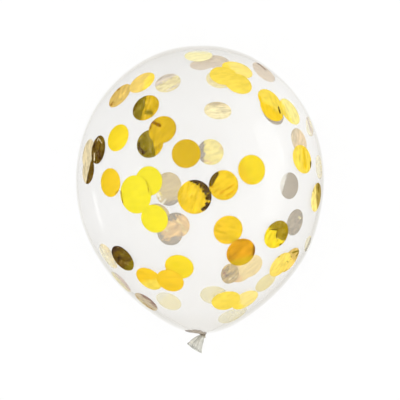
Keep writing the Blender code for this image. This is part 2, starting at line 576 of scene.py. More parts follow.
@dataclass(frozen=True)
class GoldFoilFinish:
    """Crinkled metal foil, whose tones come from each disc; its colour is painted reflection, shade and
    glints.
    """

    name: str = "gold_foil"
    solidity: float = 1.0
    metal: float = 0.5
    roughness: float = 0.3
    glint: Colour = linear(232, 212, 148)
    patch_fade: float = 0.35
    edge_span: Pair = (0.90, 1.0)
    edge_shade: float = 0.97
    swing: float = 0.13
    facet_swing: float = 0.16
    swing_span: Pair = (0.25, 0.75)
    glint_line_width: Pair = (0.004, 0.022)
    glint_line_span: Pair = (0.48, 0.58)
    streak_share: float = 1.2
    blot_height: float = 0.6

    def material(self) -> bpy.types.Material:
        """Makes foil with each disc's tones, its streaks, its crinkles and its painted glinting hair lines;
        the tones and the crinkles' light and dark are painted reflection and shade.

        Returns:
            The material.
        """
        graph = Graph.material(self.name)
        grain = graph.carried("grain", "Vector")
        streak = graph.noise(grain, scale=1.0, detail=3.0, roughness=0.55)
        speck = graph.noise(graph.place, scale=520.0, detail=2.0)
        blot = graph.noise(graph.place, scale=150.0, detail=3.0, roughness=0.6)
        # Painted reflection, shade and glints: the discs' tones, the crinkles' light and dark, and bright
        # hair lines.
        colour = graph.shaded(self.tones(graph, streak, speck), self.shade(graph, grain, streak, blot))
        colour = graph.mix(self.glint_lines(graph, grain, blot), colour, self.glint)
        height = graph.math("ADD", streak, graph.math("MULTIPLY", blot, self.blot_height))
        return graph.finish({
            "Base Color": colour, "Specular Tint": colour, "Metallic": self.metal,
            "Alpha": self.solidity, "Specular IOR Level": 0.0, "Roughness": self.roughness,
            "Normal": graph.bump(height, strength=0.2, distance=0.0006)})

    def tones(self, graph: Graph, streak: bpy.types.NodeSocket, speck: bpy.types.NodeSocket
              ) -> bpy.types.NodeSocket:
        """Lays each disc's patch of painted reflection, and its painted glints and shade lines, over its
        tone, with ragged edges.

        Args:
            graph: the material that is built.
            streak: long streaks along the disc's grain.
            speck: fine specks.

        Returns:
            The colour before it is shaded.
        """
        streaky = graph.math("SUBTRACT", streak, graph.MIDDLE)
        streaky = graph.math("MULTIPLY", streaky, self.streak_share)
        wander = graph.math("ADD", streaky, graph.math("SUBTRACT", speck, graph.MIDDLE))
        wander = graph.math("MULTIPLY", wander, graph.carried("ragged"))
        colour = graph.carried("tone", "Color")
        for name in ("patch", "mark"):
            reach = graph.math("ADD", graph.carried(name), wander)
            share = graph.ramp(reach, (-self.patch_fade, self.patch_fade))
            colour = graph.mix(share, colour, graph.carried(f"{name}_tone", "Color"))
        return colour

    def shade(self, graph: Graph, grain: bpy.types.NodeSocket, streak: bpy.types.NodeSocket,
              blot: bpy.types.NodeSocket) -> bpy.types.NodeSocket:
        """Works out the painted light and shade of the crinkles, and the painted shade at each disc's edge.

        Args:
            graph: the material that is built.
            grain: place along and across the disc's grain.
            streak: long streaks along the grain.
            blot: soft blots.

        Returns:
            What the colour is multiplied by.
        """
        facet = graph.node("ShaderNodeTexVoronoi", {"Vector": grain, "Scale": 2.0}).outputs["Color"]
        swing = graph.math("ADD", graph.ramp(streak, self.swing_span, -self.swing, self.swing),
                           graph.ramp(blot, graph.NOISE, -self.swing, self.swing))
        swing = graph.math("ADD", swing,
                           graph.ramp(facet, self.swing_span, -self.facet_swing, self.facet_swing))
        swing = graph.math("MULTIPLY", swing, graph.carried("liveliness"))
        edge = graph.ramp(graph.carried("edge"), self.edge_span, 1.0, self.edge_shade)
        return graph.math("MULTIPLY", graph.math("ADD", swing, 1.0), edge)

    def glint_lines(self, graph: Graph, grain: bpy.types.NodeSocket, blot: bpy.types.NodeSocket
                ) -> bpy.types.NodeSocket:
        """Draws painted glints: thin bright hair lines where the crinkles catch the light, which show in
        some places alone.

        Args:
            graph: the material that is built.
            grain: place along and across the disc's grain.
            blot: soft blots.

        Returns:
            How strongly a line shows.
        """
        thread = graph.noise(grain, scale=2.3, detail=1.0)
        gap = graph.math("ABSOLUTE", graph.math("SUBTRACT", thread, graph.MIDDLE))
        line = graph.math("MULTIPLY", graph.ramp(gap, self.glint_line_width, 1.0, 0.0),
                          graph.ramp(blot, self.glint_line_span))
        return graph.math("MULTIPLY", line, graph.carried("glint_lines"))


@dataclass(frozen=True)
class FloorFinish:
    """Plain white studio paper that is lit so evenly that it glows a little."""

    paper: Colour = (0.14, 0.14, 0.14)
    glow: float = 0.80
    tooth_span: Pair = (0.2, 0.8)
    tooth_shade: Pair = (0.98, 1.0)

    def material(self) -> bpy.types.Material:
        """Makes white paper with a faint tooth.

        Returns:
            The material.
        """
        graph = Graph.material("studio_paper")
        tooth = graph.noise(graph.place, scale=60.0, detail=3.0)
        tone = graph.ramp(tooth, self.tooth_span, *self.tooth_shade)
        return graph.finish({
            "Base Color": graph.shaded(self.paper, tone), "Roughness": 0.9, "Specular IOR Level": 0.1,
            "Emission Color": (1.0, 1.0, 1.0), "Emission Strength": self.glow,
            "Normal": graph.bump(tooth, strength=0.05, distance=0.001)})


@dataclass
class Skin:
    """The stretched skin: a clear wall of two faces, and the milky film on its inside."""

    wall: float = 3.6 * MILLIMETRE
    wall_directions: tuple[float, ...] = (
        -180, -160, -135, -105, -75, -60, -30, 0, 30, 45, 60, 75, 105, 120, 150, 165, 180)
    wall_shares: tuple[float, ...] = (
        0.42, 0.42, 1.10, 1.50, 1.55, 1.25, 1.10, 0.95, 0.50, 0.42, 0.60, 0.95, 1.15, 0.78, 0.42, 0.42,
        0.42)
    wall_rim: Pair = (0.25, 0.42)
    neck_wall: float = 0.8 * MILLIMETRE
    neck_wall_reach: float = 36.0 * MILLIMETRE
    film_gap: float = 0.3 * MILLIMETRE
    neck_radius: float = 3.0 * MILLIMETRE
    neck_length: float = 2.5 * MILLIMETRE
    neck_overlap: float = 0.775 * MILLIMETRE
    knot_offset: float = 3.4 * MILLIMETRE
    drift_radii: Pair = (0.003, 0.009)
    pucker_radius: float = 6.5 * MILLIMETRE
    pleats: tuple[Wave, ...] = ((11, 0.4, 0.5), (17, 1.9, 0.3), (27, 3.1, 0.2))
    pleat_sway: float = 0.5
    pleat_depth: float = 0.85 * MILLIMETRE
    pleat_growth: float = 1.5
    pleat_reach: Pair = (0.004, 0.034)
    pleat_end: float = 6.0 * MILLIMETRE
    tint_reach: Pair = (0.004, 0.066)
    # Painted shade: the film is painted darker towards this side, away from the window light.
    painted_shade_side: tuple[float, float, float] = (-0.80, 0.60, 0.0)
    painted_shade_span: Pair = (-0.5, 0.9)
    segments: int = 220
    rings: int = 150
    first_step: int = 6
    ring_crowding: float = 0.35
    funnel_rings: int = 14
    funnel_bend: float = 1.4
    crown_lift: float = 0.01 * MILLIMETRE

    @property
    def turns(self) -> np.ndarray:
        """Angle of each point around the axis."""
        return full_turn(self.segments)

    def outline(self) -> tuple[np.ndarray, np.ndarray, np.ndarray]:
        """Works out the outline of the skin from its crown to its neck.

        Returns:
            Radius and place along the axis of each ring, and the wall's thickness there.
        """
        last = int(np.flatnonzero(BODY.radii > self.pucker_radius)[-1])
        share = np.linspace(0.0, 1.0, self.rings)
        share = share + self.ring_crowding * np.sin(2 * math.pi * share) / (2 * math.pi)
        index = self.first_step + share * (last - self.first_step)
        steps = np.arange(BODY.steps + 1)
        radii = np.interp(index, steps, BODY.radii)
        along = np.interp(index, steps, BODY.heights)
        down = np.linspace(0.0, 1.0, self.funnel_rings + 1)[1:]
        end = BODY.neck_end - self.neck_length + self.neck_overlap
        radii = np.append(radii, self.neck_radius + (radii[-1] - self.neck_radius) * (1 - down) ** 2)
        along = np.append(along, along[-1] + (end - along[-1]) * down ** self.funnel_bend)
        wall = self.neck_wall + (self.wall - self.neck_wall) * smooth_rise(
            radii, self.neck_radius, self.neck_wall_reach)
        wall[: self.rings // 2] = self.wall
        return radii, along, wall

    def wall_share(self, radii: np.ndarray, along: np.ndarray) -> np.ndarray:
        """How thick the wall is around its rim, as a share of its usual thickness.

        Args:
            radii: radius of each ring.
            along: place of each ring along the axis.

        Returns:
            The share at each point of each ring.
        """
        sideways = radii[:, None] * np.sin(self.turns)[None, :]
        ahead = along[:, None] + 0.0 * sideways
        share = np.interp(np.degrees(np.arctan2(ahead, sideways)), self.wall_directions, self.wall_shares)
        start, end = self.wall_rim
        rim = smooth_rise(np.hypot(ahead, sideways), start * BODY.width, end * BODY.width)
        return 1.0 + (share - 1.0) * rim

    def around(self, radius: np.ndarray, place: np.ndarray, drift_radius: np.ndarray) -> np.ndarray:
        """Sets points around the axis, which bends aside to the knot at the neck.

        Args:
            radius: distance of each point from the axis.
            place: its place along the axis.
            drift_radius: radius of the skin there, which tells how near the knot is.

        Returns:
            The points.
        """
        drift = self.knot_offset * (1.0 - smooth_rise(drift_radius, *self.drift_radii))
        drift = np.where(place < 0.0, drift, 0.0)
        return np.stack([radius * np.sin(self.turns) + drift, place, radius * np.cos(self.turns)], axis=-1)

    def sheet(self, depth: float) -> tuple[np.ndarray, np.ndarray]:
        """Points of one face of the skin.

        Args:
            depth: how far it lies below the outer face, as a share of the wall.

        Returns:
            The points, ring after ring, and how much the skin is gathered at each.
        """
        radii, along, wall = self.outline()
        out, up = -np.gradient(along), np.gradient(radii)
        length = np.hypot(out, up)
        inset = wall[:, None] * depth * self.wall_share(radii, along)
        lower = along < 0.0
        gathered = np.where(lower, 1.0 - smooth_rise(radii, *self.pleat_reach), 0.0)
        wave = 0.5 + 0.5 * waves(self.turns, self.pleats, self.pleat_sway * np.sin(2 * self.turns))
        ending = np.clip(radii / self.pleat_end, 0.0, 1.0)
        depths = self.pleat_depth * gathered ** self.pleat_growth * ending
        drop = inset + depths[:, None] * wave[None, :]
        radius = radii[:, None] - drop * (out / length)[:, None]
        place = along[:, None] - drop * (up / length)[:, None]
        points = self.around(radius, place, radii[:, None]).reshape(-1, 3)
        points[:, 2] = np.maximum(points[:, 2], inset.ravel() - AXIS_HEIGHT)
        tinted = np.where(lower, 1.0 - smooth_rise(radii, *self.tint_reach), 0.0)
        return points, np.repeat(tinted, self.segments)

    def closed_sheet(self, depth: float) -> tuple[np.ndarray, Faces, np.ndarray]:
        """One face of the skin with a cap at its crown.

        Args:
            depth: how far it lies below the outer face, as a share of the wall.

        Returns:
            Its points, its faces and how much the skin is gathered at each point.
        """
        points, gathered = self.sheet(depth)
        tip = points[: self.segments].mean(axis=0)
        tip[1] += self.crown_lift
        rings = len(points) // self.segments
        faces = ring_faces(rings, self.segments) + fan(0, len(points), self.segments)
        return np.vstack([points, tip]), faces, np.append(gathered, 0.0)

    def build_wall(self) -> bpy.types.Object:
        """Builds the clear wall: an outer and an inner face that meet in the neck.

        Returns:
            The wall.
        """
        outer, faces, _ = self.closed_sheet(0.0)
        inner, inside, _ = self.closed_sheet(1.0)
        count = len(outer)
        last = count - 1 - self.segments
        faces += shifted(flipped(inside), count) + bridge(last, count + last, self.segments)
        mesh = new_mesh("clear_skin", np.vstack([outer, inner]), faces)
        return add_piece("clear_skin", mesh, "clear_latex", ClearLatexFinish().material())

    def build_film(self) -> bpy.types.Object:
        """Builds the milky film just inside the wall.

        Returns:
            The film.
        """
        points, faces, gathered = self.closed_sheet(1.0 + self.film_gap / self.wall)
        last = len(points) - 1 - self.segments
        faces += flipped(fan(last, len(points), self.segments))
        points = np.vstack([points, points[last:-1].mean(axis=0)])
        # Painted shade: how far each point lies towards the upper left, where the film is painted darker.
        lean = points @ np.array(self.painted_shade_side) / (BODY.width / 2)
        mesh = new_mesh("milky_film", points, faces)
        carry(mesh, gathered=np.append(gathered, 1.0), dulled=smooth_rise(lean, *self.painted_shade_span))
        return add_piece("milky_film", mesh, "clear_latex", MilkyFilmFinish().material())

    def build(self) -> None:
        """Builds the wall and the film."""
        for piece in (self.build_wall(), self.build_film()):
            skin_collection().objects.link(piece)


@dataclass
class NeckFolds:
    """The folds that lie on each other around the neck, just outside the wall."""

    reach: float = 12.5 * MILLIMETRE
    lean: float = 6.0 * MILLIMETRE
    swing: float = 2.6 * MILLIMETRE
    swing_waves: tuple[Wave, ...] = ((3, 0.6, 0.5), (7, 2.1, 0.3), (16, 0.9, 0.2))
    front: float = 6.5 * MILLIMETRE
    front_sharpness: int = 3
    lift: float = 0.35 * MILLIMETRE
    lift_arc: Pair = (0.25, 2.6)
    outer_shade: float = 0.2
    neck_shade: float = 0.6
    side_shade: float = 0.6
    side_sharpness: int = 6
    shade_wave: Wave = (27, 3.1, 0.25)
    rings: int = 14

    def reach_at(self, turns: np.ndarray) -> np.ndarray:
        """How far out from the axis the folds reach at each angle, with a ragged border."""
        reach = self.reach - self.lean * np.sin(turns) + self.swing * waves(turns, self.swing_waves)
        return reach + self.front * np.abs(np.cos(turns)) ** self.front_sharpness

    def build(self, skin: Skin) -> bpy.types.Object:
        """Builds the folds as a thin sheet with two faces.

        Args:
            skin: the skin that they lie on.

        Returns:
            The folds.
        """
        radii, along, _ = skin.outline()
        turns, steps = skin.turns, np.arange(len(radii))
        first = int(np.flatnonzero(along < 0.0)[0])
        starts = np.interp(-self.reach_at(turns), -radii[first:], steps[first:])
        # Painted shade: darker at the sides and along a ripple of pleats, and darker towards the neck.
        painted_side_shade = np.abs(np.sin(turns)) ** self.side_sharpness + waves(turns, [self.shade_wave])
        painted_side_shade *= self.side_shade
        points, folds = [], []
        for lift in (self.lift, 0.0):
            for down in np.linspace(0.0, 1.0, self.rings):
                index = starts + (len(radii) - 1 - starts) * down
                arc = math.sin(self.lift_arc[0] + self.lift_arc[1] * down)
                radius = np.interp(index, steps, radii) + lift * arc
                points.append(skin.around(radius, np.interp(index, steps, along), radius))
                folds.append(np.clip(self.outer_shade + self.neck_shade * down + painted_side_shade, 0.0, 1.0))
        count = self.rings * skin.segments
        last = count - skin.segments
        sheet = ring_faces(self.rings, skin.segments)
        faces = sheet + shifted(flipped(sheet), count)
        faces += flipped(bridge(0, count, skin.segments)) + bridge(last, count + last, skin.segments)
        mesh = new_mesh("neck_folds", np.vstack(points), faces)
        carry(mesh, fold=np.concatenate(folds))
        finish = SlackLatexFinish("gathered_latex", linear(180, 166, 150), linear(100, 86, 68), 0.6)
        return add_piece("neck_folds", mesh, "clear_latex", finish.material())


def tube(path: np.ndarray, radii: np.ndarray, sides: int = 16) -> tuple[np.ndarray, Faces]:
    """A round tube along a path, closed at both ends.

    Args:
        path: the points of its middle line.
        radii: its radius at each of them.
        sides: points around it.

    Returns:
        Its points and its faces.
    """
    ahead = np.gradient(path, axis=0)
    ahead /= np.linalg.norm(ahead, axis=1)[:, None]
    across = np.cross(ahead[0], (0.0, 0.0, 1.0))
    points = []
    for place, direction, radius in zip(path, ahead, radii):
        across = across - direction * across.dot(direction)
        across /= np.linalg.norm(across)
        over = np.cross(direction, across)
        for angle in full_turn(sides):
            points.append(place + radius * (math.cos(angle) * across + math.sin(angle) * over))
    return np.array(points), ring_faces(len(path), sides) + end_caps(len(path), sides)


@dataclass(frozen=True)
class Winding:
    """A strand that winds around the knot.

    It starts at an angle and sweeps on from there, in radians. Along the neck it runs from one place
    to another and tilts, in millimetres.
    """

    start: float
    sweep: float
    first: float
    last: float
    tilt: float
    tilt_phase: float = 0.7

    def path(self, steps: np.ndarray, wide: float, deep: float) -> tuple[np.ndarray, np.ndarray]:
        """Middle line of the winding.

        Args:
            steps: shares of its way.
            wide: how far it reaches sideways from the knot's middle.
            deep: how far it reaches up and down.

        Returns:
            The points of the line, and the angle at each.
        """
        angle = self.start + self.sweep * steps
        along = self.first + (self.last - self.first) * steps
        along += self.tilt * np.sin(angle + self.tilt_phase)
        line = np.stack([wide * np.cos(angle), along * MILLIMETRE, deep * np.sin(angle)], axis=1)
        return line, angle


@dataclass
class Knot:
    """The knot: a twisted neck that is wound around itself and drawn tight."""

    width: float = 7.8 * MILLIMETRE
    depth: float = 6.8 * MILLIMETRE
    height: float = 6.2 * MILLIMETRE
    strand: float = 1.45 * MILLIMETRE
    windings: tuple[Winding, ...] = (
        Winding(0.4, 7.6, -1.5, 1.35, 0.9), Winding(2.6, 3.6, 1.5, -1.2, -1.3))
    strand_end: float = 0.82
    strand_belly: float = 0.18
    strand_lumps: float = 0.06
    lumps_in_turn: float = 5.0
    stem_top: float = 3.4 * MILLIMETRE
    stem_length: float = 6.6 * MILLIMETRE
    stem_radius: float = 1.9 * MILLIMETRE
    stem_swell: float = 0.5 * MILLIMETRE
    path_steps: int = 90
    voxel: float = 0.22 * MILLIMETRE
    softening: tuple[float, int] = (0.5, 3)
    crease_depth: float = 0.22 * MILLIMETRE
    crease_sink: float = 0.1 * MILLIMETRE
    creases_around: float = 2.2
    creases_along: float = 1400.0
    crease_spiral: float = 1.5
    shade: float = 0.55
    crease_shade: float = 0.9
    hollow_shade: float = 1.4
    hollow_reach: float = 0.85

    def centre(self, skin: Skin) -> np.ndarray:
        """Middle of the knot, in balloon coordinates."""
        return np.array([skin.knot_offset, BODY.neck_end - skin.neck_length, 0.0])

    def strands(self) -> list[tuple[np.ndarray, np.ndarray]]:
        """Works out the windings and the stem that they wind around, about the knot's own centre.

        Returns:
            Middle line and radii of each.
        """
        steps = np.linspace(0.0, 1.0, self.path_steps)
        belly = np.sin(math.pi * steps)
        made = []
        for winding in self.windings:
            path, angle = winding.path(steps, self.width / 2 - self.strand, self.depth / 2 - self.strand)
            lumps = self.strand_lumps * np.sin(self.lumps_in_turn * angle)
            made.append((path, self.strand * (self.strand_end + self.strand_belly * belly + lumps)))
        stem = np.stack([0.0 * steps, self.stem_top - self.stem_length * steps, 0.0 * steps], axis=1)
        made.append((stem, self.stem_radius + self.stem_swell * belly))
        return made

    def fuse(self, points: np.ndarray, faces: Faces) -> bpy.types.Mesh:
        """Fuses the strands into one body.

        Args:
            points: the points of the strands.
            faces: their faces.

        Returns:
            The mesh of the body.
        """
        rough = bpy.data.objects.new("knot_rough", new_mesh("knot_rough", points, faces))
        bpy.context.scene.collection.objects.link(rough)
        remesh = rough.modifiers.new("Fused", "REMESH")
        remesh.mode, remesh.voxel_size = "VOXEL", self.voxel
        soften = rough.modifiers.new("Softened", "SMOOTH")
        soften.factor, soften.iterations = self.softening
        evaluated = rough.evaluated_get(bpy.context.evaluated_depsgraph_get())
        mesh = bpy.data.meshes.new_from_object(evaluated)
        bpy.data.objects.remove(rough, do_unlink=True)
        mesh.name = "knot"
        return mesh

    def crease(self, mesh: bpy.types.Mesh, skin: Skin) -> None:
        """Draws fine creases into the knot and paints shade into the creases and towards the knot's middle.

        Args:
            mesh: the fused knot.
            skin: the skin that the knot closes.
        """
        centre = Vector(raise_up(self.centre(skin)))
        normals = [vertex.normal.copy() for vertex in mesh.vertices]
        folds = []
        for vertex, normal in zip(mesh.vertices, normals):
            away = vertex.co - centre
            spin = math.atan2(away.z, away.x)
            wave = noise.noise(Vector((
                self.creases_around * math.cos(spin),
                away.y * self.creases_along + self.crease_spiral * spin,
                self.creases_around * math.sin(spin))))
            vertex.co += normal * (self.crease_depth * wave - self.crease_sink)
            reach = Vector((away.x / self.width, away.y / self.height, away.z / self.depth)).length * 2
            # Painted shade: darker in the creases' grooves and towards the middle of the knot, between its
            # strands.
            hollow = self.hollow_shade * (self.hollow_reach - reach)
            folds.append(self.shade - self.crease_shade * wave + hollow)
        carry(mesh, fold=np.clip(folds, 0.0, 1.0))
        mesh.update()

    def build(self, skin: Skin) -> bpy.types.Object:
        """Builds the knot as one fused body with creases.

        Args:
            skin: the skin that the knot closes.

        Returns:
            The knot.
        """
        points, faces = np.empty((0, 3)), []
        for path, radii in self.strands():
            more, sides = tube(path, radii)
            faces += shifted(sides, len(points))
            points = np.vstack([points, more])
        mesh = self.fuse(points + self.centre(skin), faces)
        self.crease(mesh, skin)
        finish = SlackLatexFinish("knotted_latex", linear(205, 198, 180), linear(96, 86, 66), 0.96)
        return add_piece("knot", mesh, "clear_latex", finish.material())


@dataclass
class MouthTail:
    """The mouth of the balloon below the knot: a flattened, pleated funnel with a rolled lip."""

    length: float = 20.2 * MILLIMETRE
    sink: float = 1.6 * MILLIMETRE
    lean: float = 34.0
    pitch: float = 28.0
    bow: float = 1.0 * MILLIMETRE
    root_width: float = 4.2 * MILLIMETRE
    root_thickness: float = 3.8 * MILLIMETRE
    lip_width: float = 20.4 * MILLIMETRE
    lip_thickness: float = 7.6 * MILLIMETRE
    flare: float = 0.72
    wall: float = 0.5 * MILLIMETRE
    lip_roll: float = 0.95 * MILLIMETRE
    fold_depth: float = 0.55 * MILLIMETRE
    fold_least: float = 0.35
    fold_peak: float = 1.05
    fold_roundness: float = 0.7
    pleats: tuple[Wave, ...] = ((5, 0.0, 0.55), (13, 1.1, 0.30), (23, 2.0, 0.22))
    pleat_twists: tuple[float, ...] = (0.0, 1.5, -2.5)
    bend: float = 0.5 * MILLIMETRE
    bend_rise: float = 2.4
    bend_curl: float = 5.0
    mouth_floor: float = 0.22
    shade: float = 0.2
    pleat_shade: float = 0.4
    threads: int = 37
    thread_twist: float = 4.0
    thread_shade: float = 0.35
    thread_span: Pair = (0.1, 0.6)
    lip_span: Pair = (0.93, 0.98)
    corner_width: float = 0.35
    corner_span: Pair = (0.75, 0.95)
    root_contrast: float = 1.1
    lip_contrast: float = 0.5
    segments: int = 160
    rings: int = 36
    mouth_rings: int = 30
    bead_rings: int = 12
    bead_gap: float = 0.02

    def ring(self, depth: float, inset: float) -> tuple[np.ndarray, np.ndarray]:
        """One ring of the tail.

        Args:
            depth: how far it is below the knot's centre.
            inset: how far it lies inside the outer face.

        Returns:
            Its points about the knot's centre, and the painted shade of the pleats at each of them.
        """
        down = max(depth, 0.0) / self.length
        spread = down ** self.flare
        width = self.root_width + (self.lip_width - self.root_width) * spread
        thick = self.root_thickness + (self.lip_thickness - self.root_thickness) * spread
        turns = full_turn(self.segments)
        wave = waves(turns, [(count, phase + twist * down, height) for (count, phase, height), twist
                             in zip(self.pleats, self.pleat_twists)])
        swell = math.sin(math.pi * min(1.0, down * self.fold_peak)) ** self.fold_roundness
        fold = self.fold_depth * (self.fold_least + (1.0 - self.fold_least) * swell) * wave
        across = (width / 2 - inset) * np.cos(turns) - self.bow * math.sin(math.pi * min(down, 1.0))
        through = (thick / 2 - inset + fold) * np.sin(turns)
        bend = self.bend * math.sin(self.bend_rise * down) * np.sin(across / width * self.bend_curl)
        points = np.stack([across, np.full_like(turns, -depth), through + bend], axis=1)
        # Painted shade: darker in the valleys of the pleats.
        return points, np.clip(self.shade - wave * self.pleat_shade, 0.0, 1.0)

    def bead(self) -> list[Pair]:
        """Works out the rings around the rolled lip.

        Returns:
            Depth and bulge of each, outside first.
        """
        radius = (self.wall + self.lip_roll) / 2
        leaves = math.asin(self.wall / 2 / radius)
        angles = np.linspace(leaves, math.pi - self.bead_gap, self.bead_rings)
        return [(self.length - radius * (1 + math.cos(angle)), radius * math.sin(angle))
                for angle in angles]

    def all_rings(self) -> list[tuple[np.ndarray, np.ndarray]]:
        """Makes the rings from the root in the knot, around the lip and back up inside the mouth.

        Returns:
            Points and painted fold shade of each ring.
        """
        bead = self.bead()
        outside = np.linspace(-self.sink, bead[0][0], self.rings)
        inside = np.linspace(bead[0][0], self.length * self.mouth_floor, self.mouth_rings)[1:]
        rings = [(depth, 0.0) for depth in outside]
        rings += [(depth, self.wall / 2 - bulge) for depth, bulge in bead[1:]]
        rings += [(depth, self.wall / 2 + bulge) for depth, bulge in reversed(bead)]
        rings += [(depth, self.wall) for depth in inside]
        return [self.ring(depth, inset) for depth, inset in rings]

    def fold_shade(self, folds: np.ndarray, down: np.ndarray) -> np.ndarray:
        """Adds to the painted shade of the folds fine dark crease lines and painted shade under the lip,
        and makes one corner darker.

        Args:
            folds: the painted shade of the pleats at each point.
            down: how far down the tail it is, as a share of the length.

        Returns:
            How dark each point is.
        """
        turns = np.tile(full_turn(self.segments), len(folds) // self.segments)
        corner = np.exp(-((turns - math.pi) / self.corner_width) ** 2)
        corner *= smooth_rise(down, *self.corner_span)
        threads = np.cos(self.threads * turns + self.thread_twist * down)
        threads *= smooth_rise(down, *self.thread_span)
        fine = self.thread_shade * (threads + smooth_rise(down, *self.lip_span))
        contrast = self.root_contrast + (self.lip_contrast - self.root_contrast) * down
        return np.clip((folds + fine) * contrast + corner, 0.0, 1.0)

    def build(self, skin: Skin, knot: Knot) -> bpy.types.Object:
        """Builds the tail.

        Args:
            skin: the skin that it belongs to.
            knot: the knot that it comes out of.

        Returns:
            The tail.
        """
        rings = self.all_rings()
        points = np.vstack([points for points, _ in rings])
        folds = self.fold_shade(np.concatenate([fold for _, fold in rings]), -points[:, 1] / self.length)
        turn = (Matrix.Rotation(-math.radians(self.lean), 3, "Z")
                @ Matrix.Rotation(-math.radians(self.pitch), 3, "X"))
        points = points @ np.array(turn).T + knot.centre(skin)
        faces = ring_faces(len(rings), self.segments) + end_caps(len(rings), self.segments)
        mesh = new_mesh("mouth_tail", points, faces)
        carry(mesh, fold=folds)
        finish = SlackLatexFinish("mouth_latex", linear(232, 231, 222), linear(78, 75, 56), 0.68)
        return add_piece("mouth_tail", mesh, "clear_latex", finish.material())


@dataclass(frozen=True)
class View:
    """The photograph's view: straight down, from far enough that it is nearly flat."""

    lens: float = 200.0
    sensor: float = 36.0
    distance: float = 2.69
    frame: int = 400
    middle: Pair = (0.0, -0.0242)
    clip: Pair = (0.1, 100.0)
    search: float = 0.16
    search_steps: int = 6400
    rounds: int = 3

    @property
    def focal(self) -> float:
        """Focal length in pixels of the photograph."""
        return self.lens / self.sensor * self.frame

    def ray(self, column: float, row: float) -> np.ndarray:
        """Direction from the camera through a pixel, one unit down, in balloon coordinates."""
        half = self.frame / 2
        return np.array([(column - half) / self.focal, (half - row) / self.focal, -1.0])

    def pixels(self, points: np.ndarray) -> tuple[np.ndarray, np.ndarray]:
        """Works out where the camera sees points.

        Args:
            points: points in balloon coordinates.

        Returns:
            Column and row of each.
        """
        points = BODY.let_out(points)
        away = self.distance - points[:, 2]
        half = self.frame / 2
        return (half + (points[:, 0] - self.middle[0]) / away * self.focal,
                half - (points[:, 1] - self.middle[1]) / away * self.focal)

    def meet(self, column: float, row: float, far: bool) -> np.ndarray:
        """Where the line through a pixel meets the skin.

        Args:
            column: pixels from the left edge.
            row: pixels from the top edge.
            far: whether the skin on the far side is meant.

        Returns:
            The point, in balloon coordinates.
        """
        start = np.array([*self.middle, self.distance])
        drops = np.linspace(self.distance - self.search, self.distance + self.search, self.search_steps)
        aim_column, aim_row = column, row
        for _ in range(self.rounds):
            points = start + drops[:, None] * self.ray(aim_column, aim_row)
            outside = np.hypot(points[:, 0], points[:, 2]) - BODY.radius_at(points[:, 1])
            inside = np.flatnonzero(outside < 0.0)
            point = points[inside[-1 if far else 0]] if len(inside) else points[int(outside.argmin())]
            seen = self.pixels(point[None, :])
            aim_column, aim_row = aim_column + column - seen[0][0], aim_row + row - seen[1][0]
        return point

    def place_camera(self) -> None:
        """Puts the camera above the balloon."""
        data = bpy.data.cameras.new("camera")
        data.lens, data.sensor_width = self.lens, self.sensor
        data.clip_start, data.clip_end = self.clip
        camera = bpy.data.objects.new("camera", data)
        camera.location = (*self.middle, AXIS_HEIGHT + self.distance)
        bpy.context.scene.collection.objects.link(camera)
        bpy.context.scene.camera = camera


VIEW = View()


class Side(Enum):
    """Which side of the skin a disc clings to."""

    UPPER = "upper"
    LOWER = "lower"


class Tone(Enum):
    """Painted reflection and shade: how a piece of foil looks through the skin, from where it faces and how
    it is crinkled.
    """

    GOLD = linear(249, 209, 53)
    LEMON = linear(252, 222, 54)
    BRIGHT = linear(253, 236, 58)
    SOFT = linear(252, 223, 93)
    BUTTER = linear(253, 231, 135)
    AMBER = linear(251, 207, 56)
    ORANGE = linear(231, 168, 42)
    MUSTARD = linear(224, 185, 46)
    FADED = linear(246, 214, 122)
    TAN = linear(220, 189, 112)
    PALE = linear(251, 238, 158)
    WHEAT = linear(250, 229, 146)
    SAND = linear(223, 209, 174)
    OLIVE = linear(114, 91, 14)
    MOSS = linear(146, 127, 28)
    BRONZE = linear(158, 112, 22)
    BRASS = linear(186, 164, 88)
    BROWN = linear(84, 62, 12)
    CREAM = linear(251, 238, 160)
    PRIMROSE = linear(244, 232, 186)
    FROST = linear(243, 239, 218)
    MIST = linear(234, 231, 211)
    STONE = linear(221, 211, 199)
    SHELL = linear(218, 202, 164)
    APRICOT = linear(234, 204, 158)
    CLAY = linear(193, 174, 134)
    ASH = linear(177, 169, 156)
    UMBER = linear(156, 130, 88)
    IVORY = linear(244, 236, 186)
    HONEY = linear(251, 223, 114)
    KHAKI = linear(170, 144, 40)
    STRAW = linear(235, 216, 165)
    BEIGE = linear(226, 208, 178)
    PUTTY = linear(212, 199, 174)
    FOG = linear(222, 220, 213)
    MEADOW = linear(236, 230, 196)
    HAY = linear(232, 222, 176)


@dataclass(frozen=True)
class Crease:
    """All of a disc beyond a straight crease, in pixels of the photograph."""

    column: float
    row: float
    towards: float
    fade: float = 1.0

    def depth(self, columns: np.ndarray, rows: np.ndarray) -> np.ndarray:
        """How far each place lies beyond the crease, in pixels."""
        turn = math.radians(self.towards)
        return (columns - self.column) * math.cos(turn) - (rows - self.row) * math.sin(turn)


@dataclass(frozen=True)
class Crescent:
    """All of a disc outside a circle, which leaves a crescent, in pixels of the photograph."""

    column: float
    row: float
    radius: float
    fade: float = 1.0

    def depth(self, columns: np.ndarray, rows: np.ndarray) -> np.ndarray:
        """How far each place lies outside the circle, in pixels."""
        return np.hypot(columns - self.column, rows - self.row) - self.radius


